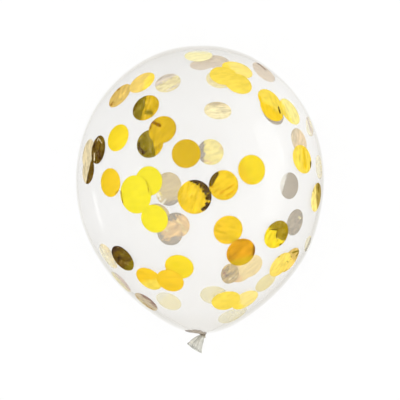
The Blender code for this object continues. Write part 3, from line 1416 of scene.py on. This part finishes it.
@dataclass(frozen=True)
class Fleck:
    """A dash or a spot on a disc, from one place to another, in pixels of the photograph."""

    column: float
    row: float
    end_column: float
    end_row: float
    width: float
    fade: float = 1.0

    def depth(self, columns: np.ndarray, rows: np.ndarray) -> np.ndarray:
        """How far each place lies inside the dash.

        Args:
            columns: columns of the places.
            rows: rows of the places.

        Returns:
            The distance of each from the dash's border, in pixels.
        """
        across, down = self.end_column - self.column, self.end_row - self.row
        aside, below = columns - self.column, rows - self.row
        share = np.clip((aside * across + below * down) / (across**2 + down**2), 0.0, 1.0)
        return self.width / 2 - np.hypot(aside - share * across, below - share * down)


Patch = Crease | Crescent | Fleck


def rays(column: float, row: float, inner: float, outer: float, turns: Sequence[float],
         width: float) -> tuple[Fleck, ...]:
    """Thin lines that fan out around a place.

    Args:
        column: column of the place.
        row: row of the place.
        inner: where the lines start, in pixels from the place.
        outer: where they end.
        turns: direction of each line, in degrees.
        width: their width.

    Returns:
        One fleck for each line.
    """
    made = []
    for turn in turns:
        out, up = math.cos(math.radians(turn)), math.sin(math.radians(turn))
        start = (column + inner * out, row - inner * up)
        end = (column + outer * out, row - outer * up)
        made.append(Fleck(*start, *end, width))
    return tuple(made)


FOIL_SIZE = 33.7 * MILLIMETRE


@dataclass(frozen=True)
class Disc:
    """One foil disc: where the camera sees it, its tones and how it lies among its neighbours.

    Level 0 is the disc that the camera sees on top. Its tones are painted reflection and shade. The patch,
    a painted reflection, lies over the disc's tone, and its painted glints and shade lines over the
    patch. Streaks is the direction of its grain, in degrees. Liveliness is how strongly the painted light
    and shade of its crinkles swing, ragged is how far the patch and the glints and shade lines fray, and
    a third number is how strongly its painted glinting hair lines show. Its size is its width, which
    across and along stretch where it lies crumpled. A fine disc has a finer mesh, and a faint one is
    partly see-through.
    """

    name: str
    column: float
    row: float
    tone: Tone
    side: Side = Side.UPPER
    level: int = 1
    patch_tone: Tone = Tone.OLIVE
    patch: tuple[Patch, ...] = ()
    mark_tone: Tone = Tone.BROWN
    mark: tuple[Patch, ...] = ()
    streaks: float = 20.0
    liveliness: float = 0.3
    ragged: float = 2.0
    glint_lines: float = 0.0
    size: float = FOIL_SIZE
    across: float = 1.0
    along: float = 1.0
    fine: bool = False
    faint: bool = False


LOW = Side.LOWER

DISCS = (
    # Upper left
    Disc("left_shoulder_a", 141.3, 82.0, Tone.FADED, level=0, streaks=38, patch_tone=Tone.SOFT,
         patch=(Crease(143.0, 85.0, -30, 6.0),), liveliness=0.45, size=1.02 * FOIL_SIZE),
    Disc("left_shoulder_b", 118.8, 95.0, Tone.TAN, streaks=55, patch_tone=Tone.FADED,
         patch=(Fleck(120.5, 97, 124, 93, 1.4, 3.0),), mark_tone=Tone.BRONZE,
         mark=(Fleck(117.5, 90.5, 119.5, 88, 1.2, 2.0), Fleck(109.5, 105.5, 113.5, 102.5, 1.8, 3.0)),
         liveliness=0.5, size=1.04 * FOIL_SIZE, fine=True),
    Disc("left_cheek", 145.1, 107.3, Tone.MUSTARD, patch_tone=Tone.MOSS,
         patch=(Crease(144.0, 107.5, 166, 1.8), Fleck(147.0, 112.0, 151.5, 113.0, 4.0, 5.0)),
         mark=(Fleck(133.8, 111, 137.5, 103, 1.8, 1.6), Fleck(136, 114.5, 138.5, 117, 1.4, 1.6),
               Fleck(138, 98.5, 142, 97, 0.8, 1.6)), mark_tone=Tone.OLIVE,
         streaks=70, liveliness=0.9, ragged=1.4, glint_lines=0.45, size=1.03 * FOIL_SIZE, fine=True),
    Disc("cheek_mustard", 162.0, 129.5, Tone.MUSTARD, level=0, mark_tone=Tone.BRONZE,
         mark=(Fleck(152.5, 122.0, 160.0, 125.6, 3.2), Fleck(151, 123, 150.5, 129, 1.4, 2.0)),
         streaks=60, liveliness=0.7, ragged=1.0, fine=True),
    Disc("cheek_olive", 149.5, 143.6, Tone.MUSTARD, patch_tone=Tone.MOSS,
         patch=(Crease(153.4, 143.5, 190, 1.2),),
         mark=(Fleck(139, 148, 143.5, 153, 3.4), Fleck(144, 152.6, 149, 150.2, 1.4),
               Fleck(139, 143, 139.3, 148, 1.6), Fleck(143, 134.5, 145.5, 136.5, 0.9),
               Fleck(148, 131.5, 150.5, 134, 0.9), Fleck(141, 139, 143, 140, 0.7)),
         streaks=75, liveliness=1.0, ragged=1.2, glint_lines=0.5, fine=True),
    Disc("left_lemon", 117.2, 137.6, Tone.LEMON, size=0.98 * FOIL_SIZE),
    Disc("left_dark", 97.5, 149.6, Tone.OLIVE, level=0, patch_tone=Tone.BROWN,
         patch=(Fleck(98, 152, 100, 158, 4.0, 3.0), Fleck(93.5, 147, 95, 143, 2.0, 2.0)),
         mark_tone=Tone.SAND,
         mark=(Fleck(96.4, 142.0, 98.8, 137.6, 0.5), Fleck(101.6, 143.0, 99.2, 139.0, 0.6),
               Fleck(94.4, 153.0, 94.2, 160.5, 0.8)),
         liveliness=1.6, streaks=82, ragged=0.9, glint_lines=0.5, across=0.84, size=1.03 * FOIL_SIZE,
         fine=True),
    Disc("rim_pale", 86.9, 153.0, Tone.SAND, liveliness=0.9, streaks=86),
    Disc("rim_striped", 86.8, 169.8, Tone.SAND, level=2, patch=(Crease(89.6, 166, -12, 0.8),),
         mark=(Fleck(88.9, 176, 87.4, 182, 1.0, 2.0),), liveliness=1.0, streaks=84, ragged=0.8,
         glint_lines=0.3, fine=True),
    Disc("left_gold", 109.5, 182.6, Tone.GOLD, mark_tone=Tone.BRONZE,
         mark=(Fleck(115.5, 194, 119, 189.5, 0.9),)),
    # The bright group left of the middle
    Disc("centre_lemon", 148.0, 181.0, Tone.BRIGHT, level=3, liveliness=0.15, size=1.02 * FOIL_SIZE),
    Disc("centre_bright", 134.7, 194.5, Tone.BRIGHT, mark_tone=Tone.BRONZE,
         mark=(Fleck(145.6, 180.6, 147.4, 184.5, 0.8), Fleck(147.9, 186.5, 148.7, 192.0, 0.9),
               Fleck(120.8, 191, 123.0, 203.5, 1.0, 1.2)),
         across=0.95, size=44.6 * MILLIMETRE, ragged=0.4, fine=True),
    Disc("centre_low", 154.0, 218.8, Tone.BRIGHT, level=0),
    Disc("centre_mustard", 186.0, 153.5, Tone.MUSTARD, liveliness=0.25, streaks=75),
    Disc("centre_large", 194.5, 197.0, Tone.GOLD, patch_tone=Tone.BROWN,
         patch=(Crescent(183.8, 202.6, 21.8, 1.6), Fleck(202.5, 209.5, 206, 207.5, 3.0, 1.2)),
         mark_tone=Tone.MUSTARD,
         mark=(rays(190.0, 201.0, 13.0, 18.2, (71, 58, 43, 30, 17), 0.7)
               + rays(191.0, 200.5, 12.0, 20.5, (64, 50, 22, -4), 0.5)
               + (Fleck(201, 199.2, 210, 201.6, 1.5, 1.2),)),
         liveliness=0.8, streaks=60, ragged=2.4, glint_lines=0.3, size=39.5 * MILLIMETRE, fine=True),
    Disc("middle_crescent", 223.9, 185.2, Tone.GOLD,
         patch=(Fleck(210.0, 184.0, 216.0, 173.4, 5.6), Fleck(209.8, 189.5, 211.6, 193.5, 1.2)),
         mark_tone=Tone.ORANGE,
         mark=(Fleck(217, 196.5, 224, 191.3, 1.2), Fleck(220, 193.0, 234, 184.5, 1.1),
               Fleck(226, 196.5, 236, 189, 1.0), Fleck(215, 191.5, 221, 189.5, 0.9),
               Fleck(210.5, 187.2, 213.5, 186.8, 1.2)),
         liveliness=0.6, streaks=30, ragged=1.4, size=1.03 * FOIL_SIZE, fine=True),
    # Right
    Disc("right_gold", 252.3, 169.7, Tone.LEMON, patch_tone=Tone.GOLD, patch=(Crease(246, 172, 205, 6.0),),
         streaks=65, size=1.03 * FOIL_SIZE),
    Disc("low_gold", 228.4, 230.0, Tone.GOLD, patch_tone=Tone.AMBER,
         patch=(Crease(228, 232, 200, 8.0),), mark_tone=Tone.MUSTARD,
         mark=(Fleck(217, 225, 224, 227, 0.9, 1.5), Fleck(216, 231, 226, 233, 0.8, 1.5)),
         streaks=-10, liveliness=0.5, size=1.03 * FOIL_SIZE),
    Disc("low_amber", 241.3, 252.4, Tone.ORANGE, level=0, patch_tone=Tone.BRONZE,
         patch=(Fleck(229.8, 258, 244, 245.5, 0.8, 2.5), Fleck(254.4, 245, 253.6, 255, 2.4, 1.2),
                Fleck(229.0, 250, 229.6, 256, 0.8, 1.5), Fleck(238, 241, 247, 240.5, 0.8, 1.5)),
         mark_tone=Tone.MUSTARD, mark=(Crease(236, 259.5, -75, 2.5),),
         streaks=40, liveliness=0.8, ragged=0.8, size=1.04 * FOIL_SIZE, fine=True),
    Disc("right_olive", 277.4, 234.6, Tone.LEMON, level=0, patch_tone=Tone.KHAKI,
         patch=(Crease(272, 228.5, 74, 1.2), Fleck(283.0, 227.0, 283.4, 233.6, 14.0, 1.2)),
         mark_tone=Tone.OLIVE,
         mark=(Fleck(269.5, 229.3, 276, 229.8, 1.0), Fleck(276, 229.8, 284, 226, 0.8),
               Fleck(276.6, 233, 276.6, 238, 0.8), Fleck(279.5, 245.0, 281.0, 244.0, 1.0)),
         streaks=50, liveliness=0.9, ragged=1.6, glint_lines=0.4, across=1.07, fine=True),
    Disc("right_lemon", 303.3, 159.2, Tone.SOFT, level=0, patch_tone=Tone.GOLD,
         patch=(Fleck(303.5, 149, 305.5, 168, 3.0, 3.0),), mark=(Fleck(311.0, 162, 311.2, 168, 1.3, 1.2),),
         liveliness=0.6, streaks=88, ragged=1.2, across=1.18, fine=True),
    Disc("right_rim", 317.3, 197.3, Tone.WHEAT, level=0, patch_tone=Tone.BRASS,
         patch=(Crease(316.4, 197, 4, 1.0),), mark_tone=Tone.MOSS,
         mark=(Fleck(318.6, 184, 318.6, 192, 1.4, 1.2), Fleck(313.2, 189, 313.6, 192, 0.7)),
         liveliness=1.0, streaks=88, ragged=1.0, glint_lines=0.3, size=1.03 * FOIL_SIZE, across=1.05,
         fine=True),
    # Crown
    Disc("crown_gold", 270.5, 100.2, Tone.SOFT, patch_tone=Tone.GOLD,
         patch=(Crease(270, 105, -130, 6.0),), streaks=-62, liveliness=0.35),
    Disc("crown_gold_low", 272.5, 108.6, Tone.SOFT, level=0, patch_tone=Tone.GOLD,
         patch=(Crease(270, 106, -125, 5.0),), mark=(Fleck(278.4, 106.2, 280.2, 113, 1.3),),
         streaks=-62, liveliness=0.5, ragged=1.2, fine=True),
    Disc("crown_pale", 291.0, 111.0, Tone.PALE, level=2, patch_tone=Tone.SOFT,
         patch=(Crease(286.5, 111, 205, 5.0),), streaks=-60, liveliness=0.4, size=1.06 * FOIL_SIZE),
    Disc("crown_cluster_a", 223.9, 75.0, Tone.SOFT),
    Disc("crown_cluster_b", 238.0, 68.6, Tone.BUTTER, level=2, patch_tone=Tone.SOFT,
         patch=(Crease(233, 71, 215, 6.0),), across=1.14),
    Disc("crown_cluster_c", 238.8, 83.0, Tone.SOFT, level=0),
    # Lower right
    Disc("low_right_amber", 281.2, 264.8, Tone.HONEY, level=0, streaks=42, liveliness=0.5,
         mark_tone=Tone.BRASS, mark=(Fleck(278.5, 257, 280, 256, 1.0, 1.5), Fleck(287, 261, 288, 262, 0.9)),
         ragged=1.0, fine=True),
    Disc("low_right_beige", 290.6, 260.4, Tone.FADED, streaks=42, patch_tone=Tone.TAN,
         patch=(Crease(292.0, 258.0, 45, 3.0),), mark_tone=Tone.MOSS,
         mark=(Fleck(292.5, 252.6, 299.5, 250.6, 1.6), Fleck(289, 254.5, 291, 257, 1.4, 1.2),
               Fleck(296, 256, 298.5, 253.0, 0.8), Fleck(288.5, 260.5, 291.0, 259.5, 1.0)),
         liveliness=0.8, ragged=1.4, glint_lines=0.4, fine=True),
    Disc("bottom_yellow", 226.3, 301.3, Tone.SOFT, level=0, size=1.02 * FOIL_SIZE),
    Disc("bottom_paler", 245.6, 300.6, Tone.SOFT, patch_tone=Tone.WHEAT,
         patch=(Crease(241, 303, 35, 5.0),), size=1.02 * FOIL_SIZE),
    # Lower left
    Disc("low_lemon", 179.0, 267.3, Tone.LEMON, patch_tone=Tone.AMBER,
         patch=(Crease(170.5, 271.0, 215, 4.0),), size=1.02 * FOIL_SIZE),
    Disc("low_amber_left", 169.8, 281.0, Tone.AMBER, level=0, across=0.97, size=1.02 * FOIL_SIZE),
    Disc("low_amber_far", 148.5, 279.3, Tone.AMBER, patch_tone=Tone.SOFT,
         patch=(Crease(147, 281, -80, 5.0),), size=1.03 * FOIL_SIZE),
    Disc("low_olive", 121.7, 258.7, Tone.OLIVE, patch_tone=Tone.BROWN,
         patch=(Crescent(124.2, 261.0, 12.6, 2.0), Fleck(118, 262, 119.5, 257, 2.0, 3.0)),
         mark_tone=Tone.MOSS, mark=(Crease(126.5, 265.5, -45, 4.0), Fleck(121, 254, 128, 256, 1.0, 2.0)),
         streaks=35, liveliness=1.6, ragged=1.2, glint_lines=0.45, size=1.03 * FOIL_SIZE, fine=True),
    # Top of the crown
    Disc("crown_ivory", 198.4, 54.9, Tone.IVORY, patch_tone=Tone.MIST,
         patch=(Crease(197, 52.5, 90, 2.5),)),
    # Lower side, seen through the balloon: crown and right
    Disc("back_crown_grey", 201.0, 64.5, Tone.STONE, LOW, across=0.85, along=0.66),
    Disc("back_crown_beige", 217.0, 61.0, Tone.STONE, LOW, level=2),
    Disc("back_cluster", 219.4, 78.8, Tone.PRIMROSE, LOW, level=3),
    Disc("back_right_limb", 264.8, 71.0, Tone.STONE, LOW, mark_tone=Tone.UMBER,
         mark=(Fleck(255.6, 61.4, 265.8, 69.9, 0.8),), ragged=0.4, along=1.4),
    Disc("back_left_pale", 167.4, 82.2, Tone.PRIMROSE, LOW, patch_tone=Tone.STONE,
         patch=(Crease(166, 80.5, 120, 2.5), Fleck(168, 90, 179, 84, 1.2, 2.0)), streaks=28,
         liveliness=0.8, ragged=2.5, glint_lines=0.3),
    Disc("back_middle_pale", 218.0, 110.2, Tone.PRIMROSE, LOW, patch_tone=Tone.SHELL,
         patch=(Crease(218, 105.6, 88, 2.0), Fleck(222, 111.5, 230, 110.5, 1.4, 1.5)), streaks=12,
         liveliness=0.9, ragged=2.5, across=1.05, along=0.77),
    Disc("back_centre_pale", 210.8, 151.9, Tone.CREAM, LOW, patch_tone=Tone.ASH,
         patch=(Crease(204.2, 152, 180, 1.5),), mark_tone=Tone.APRICOT,
         mark=(Fleck(206, 161, 210, 163, 2.0, 3.0), Fleck(220, 144, 222, 150, 1.2, 2.0)),
         liveliness=0.5, ragged=4.0),
    Disc("back_under_crown", 274.0, 112.6, Tone.ASH, LOW),
    Disc("back_right_beige", 300.2, 140.9, Tone.BEIGE, LOW, patch_tone=Tone.PUTTY,
         patch=(Crease(296.5, 139, 165, 3.0),), streaks=80, liveliness=0.8),
    Disc("back_right_grey", 290.3, 185.8, Tone.ASH, LOW, patch_tone=Tone.FOG,
         patch=(Crease(284.4, 184, 163, 1.5),), streaks=80),
    Disc("back_right_low", 296.0, 222.4, Tone.ASH, LOW, mark_tone=Tone.PRIMROSE,
         mark=(Fleck(299, 217, 300, 218, 2.2, 1.5),), liveliness=1.0, ragged=1.0, glint_lines=0.2),
    Disc("back_right_sliver", 310.8, 126.0, Tone.FROST, LOW, faint=True, across=0.6, along=1.3,
         patch_tone=Tone.PUTTY, patch=(Fleck(306.5, 117, 313.5, 137, 1.2, 1.6),)),
    Disc("back_right_faint", 320.3, 167.0, Tone.FROST, LOW, faint=True, along=0.9),
    Disc("back_right_line", 308.8, 244.0, Tone.FROST, LOW, faint=True, across=0.55,
         patch=(Fleck(305.0, 252.5, 312.3, 235.5, 0.9, 1.2),), ragged=0.5),
    # Lower side: middle
    Disc("back_centre_grey", 168.2, 185.3, Tone.SHELL, LOW, level=0, mark_tone=Tone.CREAM,
         mark=(Fleck(158.5, 189, 160, 195, 3.0, 2.0),), liveliness=0.5),
    Disc("back_centre_low", 168.2, 192.8, Tone.SHELL, LOW, patch_tone=Tone.ASH,
         patch=(Crease(169, 201, -70, 7.0),), mark_tone=Tone.FROST,
         mark=(Fleck(161, 204.5, 166, 199, 2.2), Fleck(158, 194, 160.5, 199, 2.0, 2.0)), ragged=3.0),
    Disc("back_low_hidden", 157.3, 216.5, Tone.SHELL, LOW, level=2),
    Disc("back_low_beige", 169.3, 233.4, Tone.APRICOT, LOW, level=0, patch_tone=Tone.ASH,
         patch=(Crescent(171.5, 229.0, 11.0, 3.0), Fleck(173, 240, 180, 240, 5.0, 3.0)),
         mark_tone=Tone.PRIMROSE, mark=(Fleck(165, 229, 170, 232, 1.0, 2.0),), ragged=4.0, liveliness=0.9),
    Disc("back_low_beige_high", 176.6, 225.2, Tone.APRICOT, LOW, patch_tone=Tone.ASH,
         patch=(Crease(173, 222, 140, 4.0),), mark_tone=Tone.STRAW,
         mark=(Fleck(178, 221, 181, 227, 1.6, 2.0), Fleck(183, 229, 186, 232, 2.0, 3.0)),
         ragged=4.0, liveliness=0.9, streaks=-50),
    Disc("back_low_brown", 230.2, 274.3, Tone.CLAY, LOW, level=0, patch_tone=Tone.UMBER,
         patch=(Fleck(224, 272, 227, 276, 2.0, 6.0),), mark_tone=Tone.SHELL,
         mark=(Fleck(230, 279, 236, 277, 1.6, 2.0),), liveliness=1.6, streaks=40, across=0.68,
         along=0.93),
    Disc("back_low_yellow", 250.9, 266.6, Tone.STRAW, LOW, patch_tone=Tone.SHELL,
         patch=(Fleck(244, 261, 252, 258, 2.0, 3.0),), liveliness=0.5, streaks=35),
    Disc("back_low_mixed", 240.8, 271.6, Tone.STRAW, LOW, level=2, patch_tone=Tone.APRICOT,
         patch=(Crease(244, 272, 160, 4.0),), liveliness=0.5, streaks=35, ragged=4.0),
    Disc("back_low_faded", 266.5, 283.0, Tone.HAY, LOW, across=0.92, along=0.88),
    # Lower side: bottom and left
    Disc("back_bottom_pale", 213.6, 295.6, Tone.MEADOW, LOW, faint=True, along=0.94),
    Disc("back_bottom_faint", 233.3, 316.2, Tone.MIST, LOW, faint=True, across=1.15),
    Disc("back_bottom_left", 168.0, 302.0, Tone.MEADOW, LOW, faint=True, patch_tone=Tone.MIST,
         patch=(Crease(164, 298, 130, 4.0),)),
    Disc("back_bottom_brown", 145.3, 302.5, Tone.PUTTY, LOW, patch_tone=Tone.UMBER,
         patch=(Crease(147.6, 300.4, 50, 2.0),), mark_tone=Tone.MIST,
         mark=(Fleck(139.5, 300.5, 146, 308, 2.6, 2.0),)),
    Disc("back_left_sliver", 120.0, 282.4, Tone.MIST, LOW, faint=True, patch_tone=Tone.SHELL,
         patch=(Crease(121.5, 281.2, 40, 1.5),)),
    Disc("back_left_streaks", 107.0, 256.5, Tone.FROST, LOW, faint=True, patch_tone=Tone.PRIMROSE,
         patch=(Crease(107.5, 256, 30, 3.0),), streaks=-60, liveliness=1.2, size=1.06 * FOIL_SIZE),
)


@dataclass
class Confetti:
    """The foil discs that cling to the inside of the skin."""

    thickness: float = 0.08 * MILLIMETRE
    cut_edge: float = math.radians(50.0)
    first_depth: float = 0.4 * MILLIMETRE
    level_gap: float = 0.3 * MILLIMETRE
    deepest: float = 1.3 * MILLIMETRE
    coarse_grid: tuple[int, int] = (11, 60)
    fine_grid: tuple[int, int] = (17, 96)
    crinkle: float = 0.07 * MILLIMETRE
    crinkle_count: int = 6
    crinkle_offset: float = 0.8
    crinkle_widths: Pair = (0.06, 0.22)
    first_seed: int = 1000
    grain_scale: Pair = (1.1, 4.2)
    grain_shift: Pair = (7.3, 3.1)
    unmarked: float = -9.0
    leans: tuple[float, ...] = (0.40, 0.55, 0.70, 0.82, 0.95)
    near_gain: tuple[float, ...] = (1.55, 1.48, 1.31, 1.15, 1.02)
    near_veil: float = 0.018
    far_gain: tuple[float, ...] = (0.89, 0.82, 0.72, 0.66, 0.62)
    far_veil: float = 0.17
    faint_share: float = 0.51
    faint_veil: float = 0.44
    darkest: float = 0.001
    side_on: float = 0.3

    def depth_of(self, disc: Disc) -> float:
        """Depth of a disc below the outer face."""
        step = self.level_gap * disc.level
        return self.first_depth + step if disc.side is Side.UPPER else self.deepest - step

    def grid(self, disc: Disc) -> tuple[int, int]:
        """Rings of points in a disc, and points in each."""
        return self.fine_grid if disc.fine else self.coarse_grid

    def foil_colour(self, tone: Tone, disc: Disc, normal: np.ndarray) -> np.ndarray:
        """Works out the colour painted on the foil, painted reflection and shade included, which the room's
        light and the skin's veil turn into a tone.

        Args:
            tone: how the foil looks through the skin.
            disc: the disc that it lies on.
            normal: where the skin faces there.

        Returns:
            Red, green, blue and 1, linear.
        """
        upper = disc.side is Side.UPPER
        lean = math.hypot(normal[0], normal[1])
        gain = np.interp(lean, self.leans, self.near_gain if upper else self.far_gain)
        veil = self.near_veil if upper else self.far_veil
        if disc.faint:
            gain, veil = gain * self.faint_share, self.faint_veil + veil * self.faint_share
        own = np.clip((np.array(tone.value) - veil) / gain, self.darkest, None)
        return np.append(own / max(own.max(), 1.0), 1.0)

    def crinkles(self, across: np.ndarray, along: np.ndarray, seed: int) -> np.ndarray:
        """Height of the crinkles of a disc.

        Args:
            across: place of each point across the disc, as a share of its radius.
            along: place along the disc.
            seed: which disc it is.

        Returns:
            The height of each point above the skin's own curve.
        """
        dice = np.random.default_rng(self.first_seed + seed)
        height = np.zeros_like(across)
        for _ in range(self.crinkle_count):
            turn = dice.uniform(0.0, math.pi)
            offset = dice.uniform(-self.crinkle_offset, self.crinkle_offset)
            gap = across * math.cos(turn) + along * math.sin(turn) - offset
            width = dice.uniform(*self.crinkle_widths)
            height += dice.uniform(-1.0, 1.0) * np.exp(-(gap / width) ** 2)
        return self.crinkle * np.clip(height, -1.0, 1.0)

    def lay(self, disc: Disc, across: np.ndarray, along: np.ndarray, seed: int
            ) -> tuple[np.ndarray, np.ndarray]:
        """Lays the two faces of a disc on the skin.

        Args:
            disc: the disc.
            across: place of each point across the disc, as a share of its radius.
            along: place along the disc.
            seed: its number.

        Returns:
            The points of both faces, and where the skin faces at the disc's middle.
        """
        centre = VIEW.meet(disc.column, disc.row, disc.side is Side.LOWER)
        normal = BODY.normal_at(centre)
        right = np.array([1.0, 0.0, 0.0]) - normal * normal[0]
        if np.linalg.norm(right) < self.side_on:
            right = np.cross((0.0, 1.0, 0.0), normal)
        right /= np.linalg.norm(right)
        up = np.cross(normal, right)
        if up[1] < 0.0:
            up = -up
        flat = centre + disc.size / 2 * (disc.across * across[:, None] * right
                                         + disc.along * along[:, None] * up)
        depth = self.depth_of(disc) - self.crinkles(across, along, seed)
        faces = [BODY.settle(flat, depth - half * self.thickness) for half in (0.5, -0.5)]
        return np.vstack(faces), normal

    def disc_shape(self, disc: Disc, seed: int) -> dict[str, np.ndarray]:
        """Works out one disc.

        Args:
            disc: the disc.
            seed: its number.

        Returns:
            Its points, and all that each of them carries for the finish.
        """
        rings, segments = self.grid(disc)
        shares, turns = np.linspace(0.0, 1.0, rings + 1)[1:], full_turn(segments)
        across = np.append((shares[:, None] * np.cos(turns)).ravel(), 0.0)
        along = np.append((shares[:, None] * np.sin(turns)).ravel(), 0.0)
        points, normal = self.lay(disc, across, along, seed)
        shape = {"points": points}
        columns, rows = VIEW.pixels(points)
        # The patch is painted reflection; the glints and shade lines are painted glints and shade.
        for key in ("patch", "mark"):
            parts = [part.depth(columns, rows) / part.fade for part in getattr(disc, key)]
            shape[key] = np.max([np.full(len(points), self.unmarked), *parts], axis=0)
        shape["edge"] = np.tile(np.hypot(across, along), 2)
        turn = math.radians(disc.streaks)
        first = across * math.cos(turn) + along * math.sin(turn)
        second = along * math.cos(turn) - across * math.sin(turn)
        grain = np.stack([first * self.grain_scale[0] + seed * self.grain_shift[0],
                          second * self.grain_scale[1] + seed * self.grain_shift[1],
                          np.full_like(first, seed)], axis=1)
        shape["grain"] = np.vstack([grain, grain])
        for key in ("liveliness", "ragged", "glint_lines"):
            shape[key] = np.full(len(points), getattr(disc, key))
        for key in ("tone", "patch_tone", "mark_tone"):
            colour = self.foil_colour(getattr(disc, key), disc, normal)
            shape[key] = np.tile(colour, (len(points), 1))
        return shape

    def disc_faces(self, disc: Disc) -> Faces:
        """Faces of one disc: its two sides and its edge.

        Args:
            disc: the disc.

        Returns:
            The faces, on points that start at 0.
        """
        rings, segments = self.grid(disc)
        count = rings * segments + 1
        last = (rings - 1) * segments
        side = ring_faces(rings, segments) + fan(0, count - 1, segments)
        return side + shifted(flipped(side), count) + bridge(last, count + last, segments)

    def build_side(self, side: Side, finishes: Sequence[bpy.types.Material]) -> bpy.types.Object:
        """Builds all the discs on one side of the skin as one piece.

        Args:
            side: the side.
            finishes: the foil, and the frosted foil of the faint discs.

        Returns:
            The piece.
        """
        shapes, faces, kinds, start = [], [], [], 0
        for seed, disc in enumerate(DISCS):
            if disc.side is side:
                LOG.debug("%s side: %s", side.value, disc.name)
                shapes.append(self.disc_shape(disc, seed))
                fresh = self.disc_faces(disc)
                faces += shifted(fresh, start)
                kinds += [int(disc.faint)] * len(fresh)
                start += len(shapes[-1]["points"])
        joined = {key: np.concatenate([shape[key] for shape in shapes]) for key in shapes[0]}
        name = f"{side.value}_confetti"
        mesh = new_mesh(name, joined.pop("points"), faces)
        carry(mesh, **joined)
        piece = add_piece(name, mesh, "gold_foil", *finishes)
        mesh.set_sharp_from_angle(angle=self.cut_edge)
        mesh.polygons.foreach_set("material_index", kinds)
        return piece

    def build(self) -> None:
        """Builds the discs on both sides."""
        finishes = (GoldFoilFinish(), GoldFoilFinish("frosted_foil", solidity=0.3, metal=0.2))
        materials = [finish.material() for finish in finishes]
        for side in Side:
            self.build_side(side, materials)


def skin_collection() -> bpy.types.Collection:
    """The collection of the pieces of skin, which are all that the softboxes reach."""
    name = "skin_pieces"
    return bpy.data.collections.get(name) or bpy.data.collections.new(name)


@dataclass(frozen=True)
class Softbox:
    """A studio softbox that faces the balloon and is mirrored in its skin."""

    name: str
    direction: tuple[float, float, float]
    distance: float
    size: Pair
    radiance: float

    def place(self) -> None:
        """Hangs the light and turns it to the balloon's middle."""
        data = bpy.data.lights.new(self.name, "AREA")
        data.shape, data.size, data.size_y = "RECTANGLE", *self.size
        data.energy = self.radiance * math.pi * self.size[0] * self.size[1]
        light = bpy.data.objects.new(self.name, data)
        towards = Vector(self.direction).normalized()
        light.location = Vector((0.0, 0.0, AXIS_HEIGHT)) + towards * self.distance
        light.rotation_euler = towards.to_track_quat("Z", "Y").to_euler()
        light.visible_camera = False
        light.light_linking.receiver_collection = skin_collection()
        bpy.context.scene.collection.objects.link(light)


@dataclass
class Studio:
    """Pale floor, soft lights and the camera."""

    floor_size: float = 24.0
    zenith: float = 2.0
    horizon: float = 1.65
    zenith_from: float = 0.6
    layers_seen_through: int = 32
    softboxes: tuple[Softbox, ...] = (
        Softbox("window_glow", (0.93, 0.12, 0.345), 1.6, (2.0, 0.66), 1.2),
        Softbox("window", (0.93, 0.12, 0.345), 1.6, (1.6, 0.46), 1.6),
        Softbox("window_core", (0.93, 0.12, 0.345), 1.6, (1.2, 0.26), 1.8),
        Softbox("left_strip", (-0.45, -0.115, -0.09), 0.47, (0.16, 0.022), 8.0),
    )

    def build_floor(self) -> None:
        """Builds the floor."""
        half = self.floor_size / 2
        corners = [(-half, -half, 0.0), (half, -half, 0.0), (half, half, 0.0), (-half, half, 0.0)]
        mesh = bpy.data.meshes.new("studio_floor")
        mesh.from_pydata(corners, [], [(0, 1, 2, 3)])
        mesh.materials.append(FloorFinish().material())
        floor = bpy.data.objects.new("studio_floor", mesh)
        bpy.context.scene.collection.objects.link(floor)

    def build_sky(self) -> None:
        """Lights the room from all round, brighter from above."""
        world = bpy.data.worlds.new("studio_room")
        graph = Graph(world)
        split = graph.node("ShaderNodeSeparateXYZ", {0: graph.coordinates.outputs["Generated"]})
        fade = graph.node("ShaderNodeMapRange", {
            0: split.outputs["Z"], 1: 0.0, 2: self.zenith_from, 3: self.horizon, 4: self.zenith})
        glow = graph.node("ShaderNodeBackground", {"Strength": fade.outputs[0]})
        graph.node("ShaderNodeOutputWorld", {"Surface": glow.outputs[0]})
        bpy.context.scene.world = world

    def build(self) -> None:
        """Builds the floor, the room and the lights, and sets how the picture is shown."""
        self.build_floor()
        self.build_sky()
        for softbox in self.softboxes:
            softbox.place()
        VIEW.place_camera()
        bpy.context.scene.view_settings.view_transform = "Standard"
        bpy.context.scene.cycles.transparent_max_bounces = self.layers_seen_through
        LOG.info("studio: %d lights", len(self.softboxes))


def main() -> None:
    """Builds the balloon and its studio."""
    logging.basicConfig(level=logging.INFO, format="%(name)s %(message)s")
    Studio().build()
    skin, knot = Skin(), Knot()
    skin.build()
    NeckFolds().build(skin)
    knot.build(skin)
    MouthTail().build(skin, knot)
    Confetti().build()


if __name__ == "__main__":
    main()
